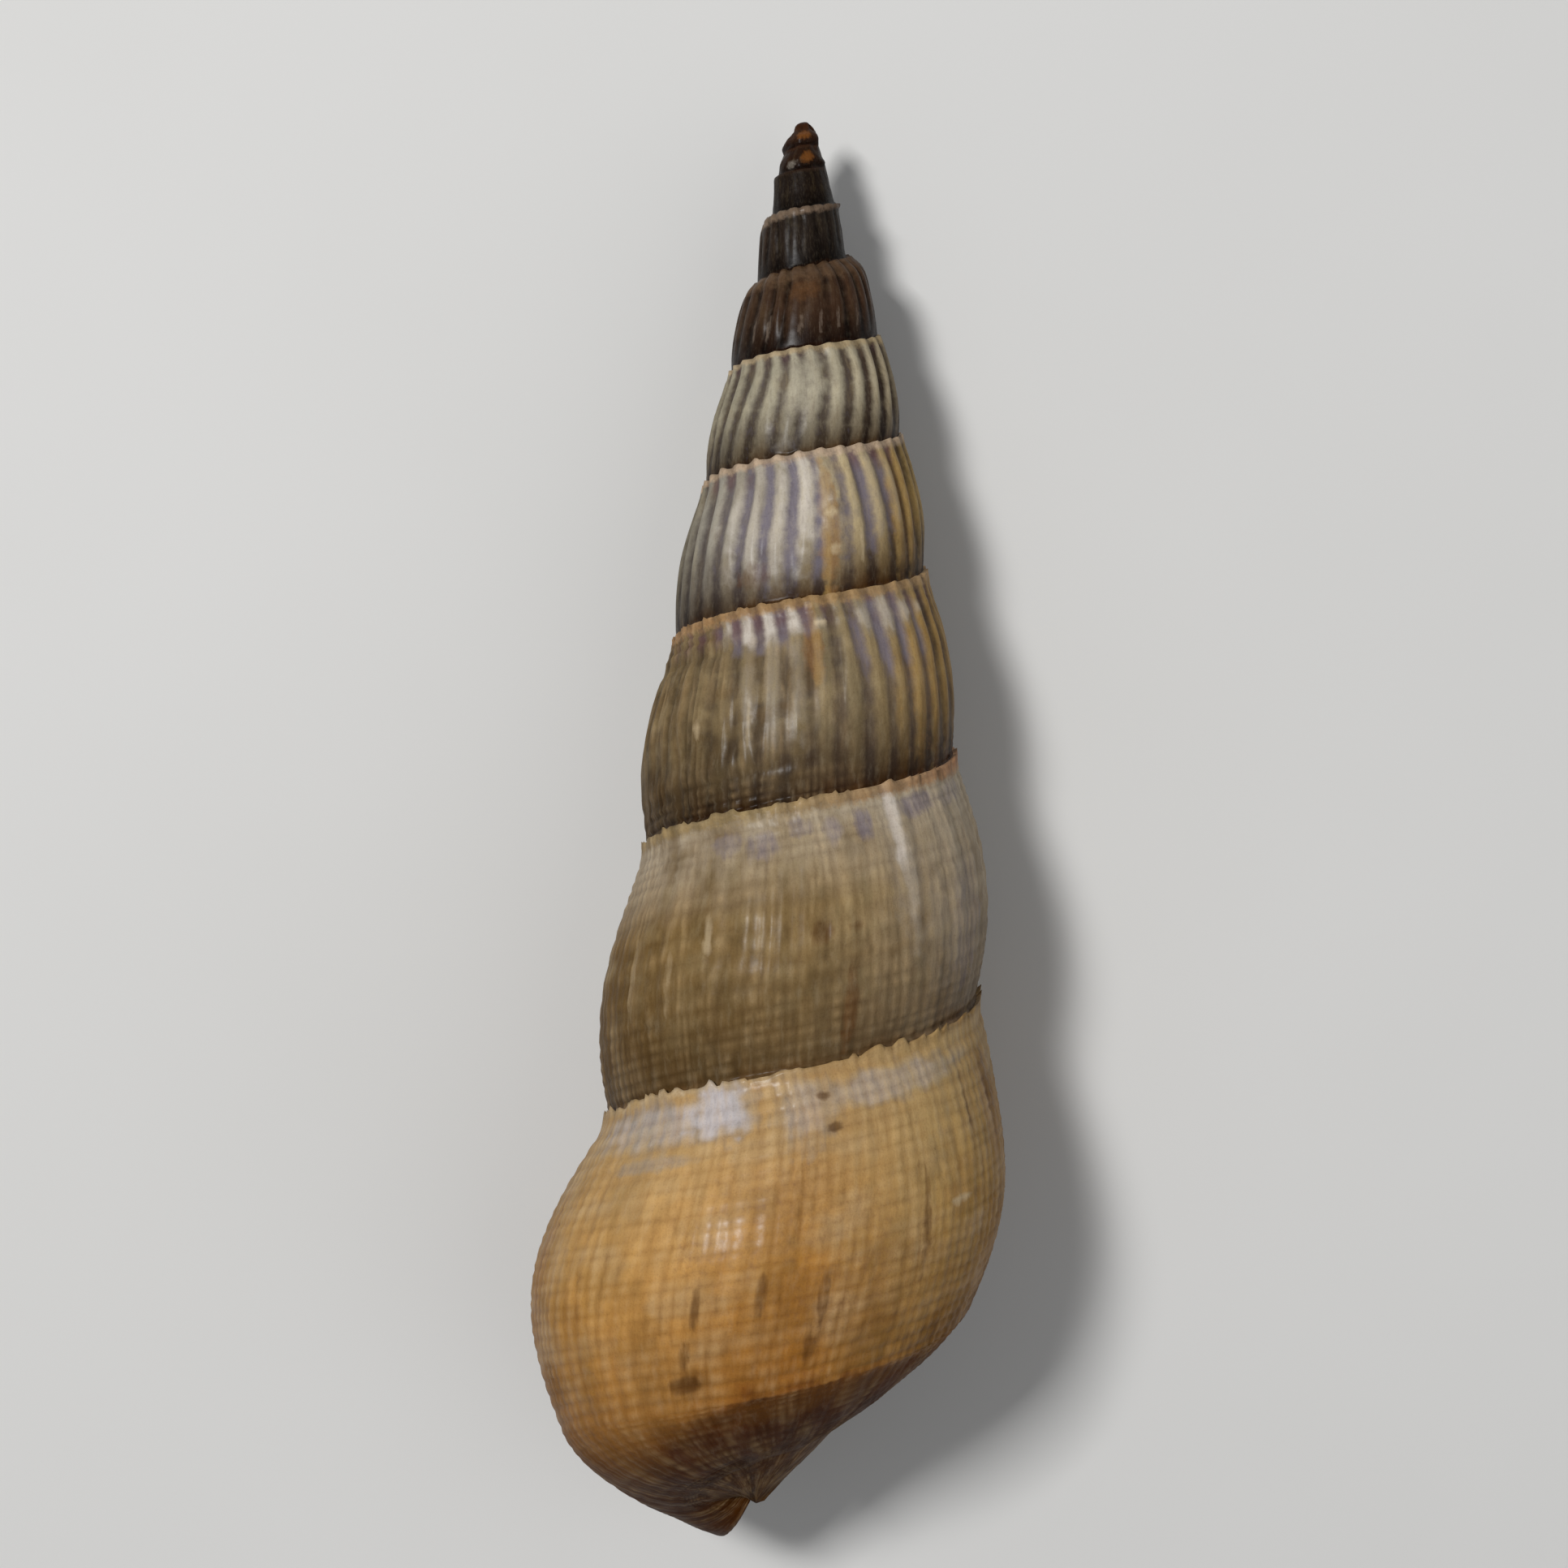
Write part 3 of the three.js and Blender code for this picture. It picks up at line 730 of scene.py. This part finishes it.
# Pale marks on the skin. The three on turn 7, at 7.33, 7.365 and 7.41, are painted highlights on the ribs'
# crests.
CHALK_AND_GLINTS = (
    (8.118, 0.52, 0.012, 0.018, 0.9), (5.22, 0.45, 0.01, 0.04, 0.9), (5.215, 0.7, 0.01, 0.05, 0.7),
    (6.235, 0.14, 0.008, 0.02, 0.9), (7.33, 0.44, 0.005, 0.08, 0.6), (6.37, 0.55, 0.005, 0.06, 0.7),
    (6.31, 0.58, 0.004, 0.13, 0.7), (5.178, 0.65, 0.004, 0.15, 0.7), (7.365, 0.62, 0.005, 0.17, 0.45),
    (7.41, 0.55, 0.005, 0.2, 0.45), (3.385, 0.72, 0.007, 0.2, 0.5), (3.345, 0.7, 0.007, 0.22, 0.55),
    (3.27, 0.72, 0.007, 0.2, 0.5), (3.225, 0.7, 0.006, 0.2, 0.5), (3.185, 0.72, 0.006, 0.2, 0.5),
    (3.13, 0.7, 0.006, 0.2, 0.5),
)


def stain_corners(mesh, corners):
    """Stores each corner's masks: in tints the pale whitish coat with a painted highlight in a streak on
    turn 7, slate, stain and umber, in carving the ribs' crests, the rim, the pale marks with painted
    highlights on turn 7 and the cells' own tints, and in lattice the threads, the upright strands, how
    deep a place is sunk and the ribs' right sides."""
    turn, across = corners.T
    stains = (FROST_AND_SHEEN, SLATE, STAIN, UMBER)
    tints = [blot(turn, across, marks, 50 + 3 * i) for i, marks in enumerate(stains)]
    smoothed = blot(turn, across, SMOOTHED, 32) * (turn < 6)
    phase = rib_phase(turn, across)
    crest = mix(rib_crest(phase), 0.75, smoothed)
    chalk = blot(turn, across, CHALK_AND_GLINTS, 70)
    carving = [crest, rim(turn, across), chalk, cell_tint(turn, across)]
    threads, strands = rib_crest(thread_phase(turn, across)), rib_crest(growth_phase(turn, across))
    side = 0.5 + 0.5 * np.sin(2 * np.pi * phase)
    lattice = [threads, strands, blot(turn, across, PITS, 33), side]
    for name, layers in (("tints", tints), ("carving", carving), ("lattice", lattice)):
        values = np.stack(layers, -1).astype(np.float32)
        stored = mesh.color_attributes.new(name=name, type="FLOAT_COLOR", domain="CORNER")
        stored.data.foreach_set("color", values.ravel())


# The materials.


def tone(red, green, blue):
    """A colour as a screen shows it, from 0 to 255, as light."""
    levels = np.array([red, green, blue]) / 255
    light = np.where(levels < 0.04045, levels / 12.92, ((levels + 0.055) / 1.055) ** 2.4)
    return (*light.tolist(), 1.0)


class Reading:
    """A shader value that can be added, multiplied and raised to a power like a number."""

    def __init__(self, sheet, socket):
        self.sheet, self.socket = sheet, socket

    def maths(self, operation, *values):
        """One Math node."""
        return self.sheet.node("ShaderNodeMath", {"operation": operation}, dict(enumerate(values)))

    def __add__(self, other):
        return self.maths("ADD", self, other)

    def __radd__(self, other):
        return self.maths("ADD", other, self)

    def __sub__(self, other):
        return self.maths("SUBTRACT", self, other)

    def __rsub__(self, other):
        return self.maths("SUBTRACT", other, self)

    def __mul__(self, other):
        return self.maths("MULTIPLY", self, other)

    def __rmul__(self, other):
        return self.maths("MULTIPLY", other, self)

    def __pow__(self, other):
        return self.maths("POWER", self, other)

    def held(self, low=0.0, high=1.0):
        """The share of the way from low to high, between 0 and 1."""
        return self.sheet.node("ShaderNodeMapRange", {"clamp": True}, {0: self, 1: low, 2: high})

    def fading(self, reach):
        """exp(-value / reach)."""
        return self.maths("EXPONENT", self * (-1 / reach))


class Sheet:
    """A material's nodes."""

    def __init__(self, name):
        self.material = bpy.data.materials.new(name)
        self.material.use_nodes = True
        self.tree = self.material.node_tree
        self.tree.nodes.clear()

    def node(self, kind, settings, inputs, out=0):
        """A node of a type, with its settings and its sockets' values or links, as one output."""
        made = self.tree.nodes.new(kind)
        stops = settings.get("stops", ())
        for i, (place, colour) in enumerate(stops):
            stop = made.color_ramp.elements[i] if i < 2 else made.color_ramp.elements.new(place)
            stop.position, stop.color = place, colour
        for key, value in settings.items():
            if key != "stops":
                setattr(made, key, value)
        for key, value in inputs.items():
            if isinstance(value, Reading):
                self.tree.links.new(value.socket, made.inputs[key])
            else:
                made.inputs[key].default_value = value
        return Reading(self, made.outputs[out] if made.outputs else None)

    def other(self, reading, out):
        """Another output of the node that a reading comes from."""
        return Reading(self, reading.socket.node.outputs[out])

    def coil(self):
        """The turn and the place across."""
        place = self.node("ShaderNodeUVMap", {"uv_map": "coil"}, {})
        turn = self.node("ShaderNodeSeparateXYZ", {}, {0: place})
        return turn, self.other(turn, 1)

    def masks(self, name):
        """The four masks that an attribute holds."""
        stored = self.node("ShaderNodeAttribute", {"attribute_name": name}, {})
        red = self.node("ShaderNodeSeparateColor", {}, {0: stored})
        return red, self.other(red, 1), self.other(red, 2), self.other(stored, 3)

    def ramp(self, value, stops):
        """A colour for each value, mixed between the stops."""
        return self.node("ShaderNodeValToRGB", {"stops": stops}, {0: value})

    def blend(self, factor, low, high, how="MIX"):
        """Colours mixed by a factor."""
        settings = {"data_type": "RGBA", "blend_type": how, "clamp_factor": True}
        return self.node("ShaderNodeMix", settings, {0: factor, 6: low, 7: high}, 2)

    def dimmed(self, colour, factor):
        """A colour made lighter or darker by a factor."""
        return self.node("ShaderNodeVectorMath", {"operation": "SCALE"}, {0: colour, "Scale": factor})

    def point(self, x, y):
        """A place in a plane from two numbers."""
        return self.node("ShaderNodeCombineXYZ", {}, {0: x, 1: y})

    def noise(self, where, scale, detail, rough):
        """Cloudy noise from 0 to 1."""
        inputs = {"Vector": where, "Scale": scale, "Detail": detail, "Roughness": rough}
        return self.node("ShaderNodeTexNoise", {}, inputs)

    def finish(self, inputs, height):
        """A surface with a bump whose heights are in millimetres."""
        bump = self.node("ShaderNodeBump", {}, {"Strength": 1.0, "Distance": MM, "Height": height})
        shader = self.node("ShaderNodeBsdfPrincipled", {}, {**inputs, "Normal": bump})
        self.node("ShaderNodeOutputMaterial", {}, {0: shader})
        return self.material


# Turn and colour on the ribs' crests, in the grooves between them and along the rim.
CRESTS = (
    (-1, (52, 26, 8)), (0.7, (32, 17, 8)), (1.2, (26, 17, 11)), (2.25, (37, 29, 23)),
    (3.1, (66, 45, 31)), (3.5, (60, 43, 30)), (3.98, (92, 74, 56)), (4.08, (174, 160, 132)),
    (4.25, (172, 164, 142)), (4.45, (146, 138, 118)), (5.08, (158, 130, 78)), (5.2, (184, 166, 130)),
    (5.4, (150, 144, 132)), (5.5, (112, 104, 86)), (6.08, (154, 122, 70)), (6.2, (142, 126, 96)),
    (6.45, (108, 88, 58)), (7.08, (168, 152, 128)), (7.22, (140, 116, 76)), (7.45, (108, 82, 42)),
    # The last turn's crest stops, from 8.03 to 8.5, are lightest about turn 8.34 and darkest at both ends,
    # where that turn curves away at the sides: painted light and painted shade over its own tan.
    (8.03, (124, 86, 22)), (8.08, (150, 112, 40)), (8.14, (190, 154, 94)), (8.24, (176, 124, 56)),
    (8.34, (196, 150, 86)), (8.42, (168, 124, 58)), (8.5, (112, 74, 26)), (8.9, (150, 104, 58)),
)
GROOVES = (
    (-1, (36, 18, 7)), (1.5, (16, 10, 7)), (3, (20, 12, 8)), (3.6, (25, 16, 10)),
    (4.1, (60, 42, 30)), (4.25, (104, 94, 82)), (4.4, (80, 70, 60)), (5.1, (94, 74, 46)),
    (5.28, (128, 120, 120)), (5.38, (98, 90, 86)), (5.5, (76, 68, 58)), (6.15, (96, 82, 74)),
    (6.4, (66, 54, 36)), (7.2, (108, 88, 60)), (7.5, (88, 66, 34)), (8.3, (150, 106, 56)),
    (8.9, (130, 92, 54)),
)
RIMS = (
    (-1, (60, 32, 14)), (1.7, (40, 30, 22)), (2.05, (100, 80, 64)), (2.5, (126, 108, 90)),
    (2.8, (66, 48, 34)), (3.4, (92, 70, 50)), (3.8, (120, 98, 74)), (4.1, (168, 148, 112)),
    (5.2, (186, 162, 138)), (6.2, (164, 132, 90)), (7.02, (176, 128, 92)), (7.3, (156, 134, 92)),
    (8.0, (128, 98, 56)), (8.22, (156, 126, 82)), (8.32, (194, 174, 142)), (8.45, (180, 158, 124)),
    (8.9, (180, 160, 130)),
)
# The base's colours by place across, from the suture to the pillar's tip.
BASES = (
    (0, (144, 96, 44)), (0.07, (110, 68, 28)), (0.15, (87, 48, 14)), (0.27, (78, 42, 6)),
    (0.42, (76, 42, 4)), (0.6, (88, 53, 10)), (1, (80, 52, 14)),
)
RAMP_TURNS = 11


def by_turn(stops):
    """Stops by turn, from turn -1 to turn 10, as a ramp's places and colours."""
    return [((turn - FIRST_TURN) / RAMP_TURNS, tone(*colour)) for turn, colour in stops]


def spread(mask, breakup, full=0.85):
    """A mask with its soft edge broken up by a noise."""
    return (mask + (breakup - 0.5) * 0.9 * mask.held(0, 0.25)).held(0.3, full)


class SnailSkin(Sheet):
    """Old snail skin: the masks and noises that its layers share, and the layers, each of which is
    laid over the colour so far."""

    def __init__(self):
        # The colour holds painted highlights and painted shade as well as the skin's own weathered
        # colours.
        super().__init__("weathered_snail_skin_and_painted_light")
        self.turn, self.across = self.coil()
        self.frost, self.slate, self.stain, self.umber = self.masks("tints")
        self.crest, self.edge, self.chalk, self.cell = self.masks("carving")
        self.thread, self.strand, self.sunk, self.side = self.masks("lattice")
        self.line = self.turn - self.across.fading(HOOK_REACH) * RIM_HOOK

        where = self.node("ShaderNodeTexCoord", {}, {}, 3)
        spot = self.node("ShaderNodeVectorMath", {"operation": "SCALE"}, {0: where, "Scale": 1 / MM})
        self.fine = self.noise(spot, 5.0, 4.0, 0.65)
        self.grain = self.noise(spot, 15.0, 3.0, 0.6)
        self.cloud = self.noise(spot, 0.6, 3.0, 0.6)
        self.streak = self.drawn(150, 9.0, 3.0, 0.6)
        self.broad = self.drawn(40, 2.5, 3.0, 0.6)
        self.patch = self.drawn(22, 7.0, 2.0, 0.5)
        self.bands = self.drawn(26, 0.9, 1.0, 0.4)
        self.set_reaches()

    def drawn(self, along_coil, over_strip, detail, rough):
        """Noise drawn out along the growth lines, by how fast it changes along and across."""
        return self.noise(self.point(self.line * along_coil, self.across * over_strip), 1.0, detail, rough)

    def set_reaches(self):
        """Masks of turns and of ribs. Early is the dark apex, dull the same but for its tip, late the
        turns with threads, whole those without ribs and lowest the last one. Ridge is the ribs'
        crests, upon the crests and between the grooves, and these two are all of a whole turn."""
        turn = self.turn
        self.scale = (turn - FIRST_TURN) * (1 / RAMP_TURNS)
        self.early = 1 - turn.held(3.5, 4.0)
        self.dull = self.early * turn.held(0.6, 1.0)
        self.late = turn.held(5.7, 7.2) + turn.held(6.2, 6.26) * turn.held(6.5, 6.45) * 0.5
        self.whole = turn.held(6.5, 6.9)
        self.lowest = turn.held(7.64, 7.7)

        ribbed = turn.held(1.4, 2.0)
        worn_crest = self.crest + self.early * 0.3 + (self.fine - 0.5) * 0.5 + (self.patch - 0.5) * 0.7
        self.ridge = worn_crest.held(0.12, 0.8) * ribbed + (1 - ribbed)
        self.between = (1 - self.ridge) * (1 - self.whole) + self.whole
        self.upon = self.ridge * (1 - self.whole) + self.whole

    def lay(self, amount, shade, how="MIX"):
        """Lays a shade over the colour so far, by an amount from 0 to 1."""
        self.colour = self.blend(amount, self.colour, shade, how)

    def lay_ground(self):
        """Crests, grooves and the dark base with its uneven edge."""
        turn, across = self.turn, self.across
        crests = self.ramp(self.scale, by_turn(CRESTS))
        self.colour = self.blend(self.ridge, self.ramp(self.scale, by_turn(GROOVES)), crests)
        self.lay(turn.held(5.9, 7.3) * 0.9, crests)
        stops = [(place, tone(*shade)) for place, shade in BASES]
        base = self.ramp((across - 1 + (self.broad - 0.5) * 0.2) * 0.5, stops)
        ragged = (self.cloud - 0.5) * 0.2 + (self.fine - 0.5) * 0.06 + (self.cell - 0.5) * 0.05
        soft = turn.held(8.27, 8.38) + turn.held(8.2, 8.08) * 0.5
        self.lay((across + ragged).held(0.98 - soft * 0.06, 1.03 + soft * 0.5), base)

    def lay_weather_and_shade(self):
        """Clouds, pale and brown patches, paler tops of the last two turns, and painted shade that darkens
        each turn towards the suture below.
        """
        turn, across, broad, cloud = self.turn, self.across, self.broad, self.cloud
        mottle = (cloud - 0.5) * 0.7 + (broad - 0.5) * 0.7
        mottle = mottle + ((self.cell - 0.5) * 0.22 + (self.bands - 0.5) * 0.5) * self.late
        self.colour = self.dimmed(self.colour, mottle + 1.0)
        self.lay(broad.held(0.5, 0.75) * (1 - self.early * 0.75) * 0.3, tone(150, 132, 92))
        flank = self.late * (1.05 - across).held(0, 0.2)
        pale = self.blend(self.lowest, tone(150, 130, 92), tone(188, 158, 114))
        brown = self.blend(self.lowest, tone(104, 78, 40), tone(144, 98, 44))
        self.lay(self.patch.held(0.5, 0.64) * flank * 0.4, pale)
        self.lay(self.patch.held(0.46, 0.32) * flank * 0.35, brown)
        self.lay((0.6 - across).held(0, 0.5) * self.lowest * 0.5, tone(184, 160, 118))

        bloom = turn.held(6.9, 7.0) * (1 - self.lowest) * (0.4 - across).held(0, 0.34)
        self.lay(bloom * (broad + cloud).held(0.6, 1.1) * 0.8, tone(180, 168, 148))
        # Painted shade: each turn darkens from its middle down to the suture below, where it curves into
        # the suture, strongly on the earlier turns and a little on the last.
        foot = (across + (cloud - 0.5) * 0.2).held(0.5, 1.0)
        depth = (1 - turn.held(7.6, 7.9)) * (1 - turn.held(6.8, 7.1) * 0.3)
        self.lay(foot * depth, tone(106, 82, 56), "MULTIPLY")
        self.lay(foot * turn.held(7.6, 7.9), tone(212, 196, 172), "MULTIPLY")

    def lay_stains(self):
        """Rusty stains, lilac grooves, the pale whitish coat with a painted highlight in a streak on turn
        7, and the amber right sides of the ribs.
        """
        turn, broad, streak = self.turn, self.broad, self.streak
        old_rust = self.blend(self.dull, tone(132, 80, 34), tone(104, 70, 40))
        rust = self.blend(self.early, tone(138, 98, 56), old_rust)
        self.lay(spread(self.stain, self.fine) * 0.6, rust)
        self.lay(spread(self.slate, streak) * self.between * 0.7, tone(124, 117, 128))
        # The pale whitish coat, and on turn 7 a soft white streak that is a painted highlight.
        icy = self.blend(self.lowest, tone(220, 212, 202), tone(197, 195, 201))
        thick = (self.frost + (broad - 0.5) * 0.6).held(0.6, 1.0)
        icy = self.blend(thick, tone(158, 149, 136), icy)
        self.lay(spread(self.frost, streak, 1.05) * self.upon * 0.85, icy)
        ribs = (1 - self.whole) * turn.held(3.9, 4.1)
        amber = self.side.held(0.6, 0.95) * spread(self.stain.held(0.05, 0.5), broad) * ribs
        self.lay(amber * 0.3, tone(186, 152, 88))

    def lay_marks(self):
        """The dark line under each rim, the umber growth marks, and pale marks with painted highlights on
        turn 7.
        """
        turn, across, streak = self.turn, self.across, self.streak
        under_rim = across.held(0.015, 0.05) * across.held(0.19, 0.09) * (1 - self.ridge)
        under_rim = under_rim * (1 - self.whole) * turn.held(3.9, 4.1) * self.cloud.held(0.4, 0.55)
        self.lay(under_rim * 0.7, self.blend(turn.held(4.7, 5.0), tone(70, 48, 54), tone(104, 76, 78)))
        self.lay(spread(self.umber, streak) * 0.65, tone(92, 58, 24))
        # Pale marks, which on turn 7 are painted highlights.
        chalky = self.blend(self.dull, tone(206, 186, 150), tone(150, 132, 116))
        self.lay(spread(self.chalk, streak) * 0.7, chalky)

    def lay_rims(self):
        """The ragged rims under the sutures."""
        shade = self.ramp(self.scale, by_turn(RIMS))
        shade = self.dimmed(shade, 0.3 + 0.8 * self.fine + 0.35 * self.ridge)
        crusted = (self.edge + (self.fine - 0.6) * 0.9).held(0.2, 0.6)
        broken = self.turn.held(7.5, 7.7) * self.broad.held(0.6, 0.4) * 0.8
        self.lay(crusted * (1 - broken) * 0.85, shade)

    def lay_lattice(self):
        """Painted shade as dark lines in the grooves between the threads and the growth lines, a painted
        highlight on the raised cells between them, and streaks.
        """
        fine, broad, streak = self.fine, self.broad, self.streak
        # Painted shade: dark lines in the grooves of the lattice.
        lines = (1 - self.thread) ** 1.5 * fine.held(0.2, 0.7)
        lines = lines + (1 - self.strand) ** 1.5 * broad.held(0.3, 0.65)
        lines = lines * self.late * (1.25 - self.across).held(0, 0.4) * (self.patch + 0.4)
        self.lay(lines * 0.27, tone(150, 112, 70), "MULTIPLY")
        # Painted highlight on the raised cells where a thread crosses a growth line.
        cell_highlight = self.thread * self.strand * self.late * broad.held(0.4, 0.65)
        self.lay(cell_highlight * 0.24, tone(218, 182, 134))
        self.lay(streak.held(0.5, 0.8) * 0.34, tone(140, 112, 78), "MULTIPLY")
        self.lay(streak.held(0.48, 0.2) * (1 - self.early * 0.6) * 0.18, tone(160, 148, 124), "SCREEN")
        self.lay(self.grain.held(0.5, 0.8) * 0.25, tone(130, 110, 86), "MULTIPLY")
        self.lay(self.sunk * 0.35, tone(120, 94, 70), "MULTIPLY")

    def lay_callus(self):
        """The smooth pale callus on the base inside the aperture. Returns how much of it there is."""
        reach = 7.72 + (self.across - 1) * 0.09 + (self.cloud - 0.5) * 0.04
        callus = (reach - self.turn).held(-0.02, 0.03) * self.across.held(1.04, 1.16) * self.lowest
        self.lay(callus * 0.85, self.blend(self.streak, tone(150, 126, 98), tone(190, 174, 150)))
        return callus


def outside_finish():
    """Old snail skin in layers, with a soft gloss that is patchy where the skin is worn."""
    old = SnailSkin()
    old.lay_ground()
    old.lay_weather_and_shade()
    old.lay_stains()
    old.lay_marks()
    old.lay_rims()
    old.lay_lattice()
    callus = old.lay_callus()
    height = (old.streak * 0.014 + old.fine * 0.012 + old.grain * 0.006) * (1 - callus * 0.8)
    rough = 0.34 + old.fine * 0.24 + (1 - old.ridge) * 0.08 - old.early * 0.1 - callus * 0.2
    worn = (old.fine * 0.6 + old.patch * 0.4).held(0.4, 0.62)
    gloss = (1.2 - old.across).held(0, 0.25) * (worn * (0.12 + old.lowest * 0.18) + 0.06)
    inputs = {
        "Base Color": old.colour, "Roughness": rough, "Specular IOR Level": 0.04, "IOR": 1.4,
        "Coat Weight": gloss, "Coat Roughness": 0.27,
    }
    return old.finish(inputs, height)


def inside_finish():
    """The hollow's smooth porcelain: pale grey, browner to the lip, with faint growth lines."""
    sheet = Sheet("porcelain_hollow")
    turn, across = sheet.coil()
    streak = sheet.noise(sheet.point(turn * 60, across * 3.0), 1.0, 4.0, 0.6)
    edge = (turn + (streak - 0.5) * 0.06).held(8.45, 8.63)
    colour = sheet.blend(edge, tone(164, 158, 156), tone(140, 102, 64))
    colour = sheet.blend(streak.held(0.4, 0.75) * 0.5, colour, tone(150, 136, 128), "MULTIPLY")
    inputs = {"Base Color": colour, "Roughness": 0.24, "Coat Weight": 0.3, "Coat Roughness": 0.15}
    return sheet.finish(inputs, streak * 0.02)


def floor_finish():
    """A plain pale table."""
    sheet = Sheet("pale_table")
    where = sheet.node("ShaderNodeTexCoord", {}, {}, 3)
    cloud = sheet.noise(where, 40.0, 3.0, 0.6)
    colour = sheet.blend(cloud, tone(212, 211, 208), tone(218, 217, 215))
    return sheet.finish({"Base Color": colour, "Roughness": 0.8}, cloud * 0.01)


# The scene.


def lay_table(size):
    """A flat table at the floor's height."""
    mesh = bpy.data.meshes.new("table")
    half = size / 2
    corners = [(-half, -half, 0), (half, -half, 0), (half, half, 0), (-half, half, 0)]
    mesh.from_pydata(corners, [], [(0, 1, 2, 3)])
    table = bpy.data.objects.new("table", mesh)
    bpy.context.scene.collection.objects.link(table)
    mesh.materials.append(floor_finish())


def add_lamp(name, place, power, size):
    """A square soft lamp that shines on the shell's middle."""
    light = bpy.data.lights.new(name, "AREA")
    light.energy, light.size = power, size
    lamp = bpy.data.objects.new(name, light)
    lamp.location = place
    lamp.rotation_euler = Vector(place).to_track_quat("Z", "Y").to_euler()
    bpy.context.scene.collection.objects.link(lamp)


def set_camera():
    """The camera looks straight down in the shell's own frame."""
    eye = bpy.data.cameras.new("camera")
    eye.lens, eye.sensor_width = LENS, SENSOR
    eye.clip_start, eye.clip_end = 0.01, 10
    camera = bpy.data.objects.new("camera", eye)
    place = Vector(laid(np.array([CAMERA_PLACE]))[0])
    camera.matrix_world = Matrix.Translation(place) @ lying(4)
    bpy.context.scene.collection.objects.link(camera)
    bpy.context.scene.camera = camera


def set_scene():
    """The table, the lamps and the camera."""
    lay_table(size=1.2)
    add_lamp("key", place=(-0.1, 0.097, 0.273), power=0.68, size=0.06)
    add_lamp("fill", place=(0.2, -0.05, 0.25), power=0.17, size=0.3)
    world = bpy.data.worlds.new("room")
    world.use_nodes = True
    background = world.node_tree.nodes["Background"]
    background.inputs["Color"].default_value = tone(225, 228, 232)
    background.inputs["Strength"].default_value = 0.25
    bpy.context.scene.world = world
    bpy.context.scene.view_settings.view_transform = "Standard"
    set_camera()


shell = build_shell()
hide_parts("shell")
shell.data.materials.clear()
shell.data.materials.append(outside_finish())
shell.data.materials.append(inside_finish())
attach(shell, "root")
set_scene()
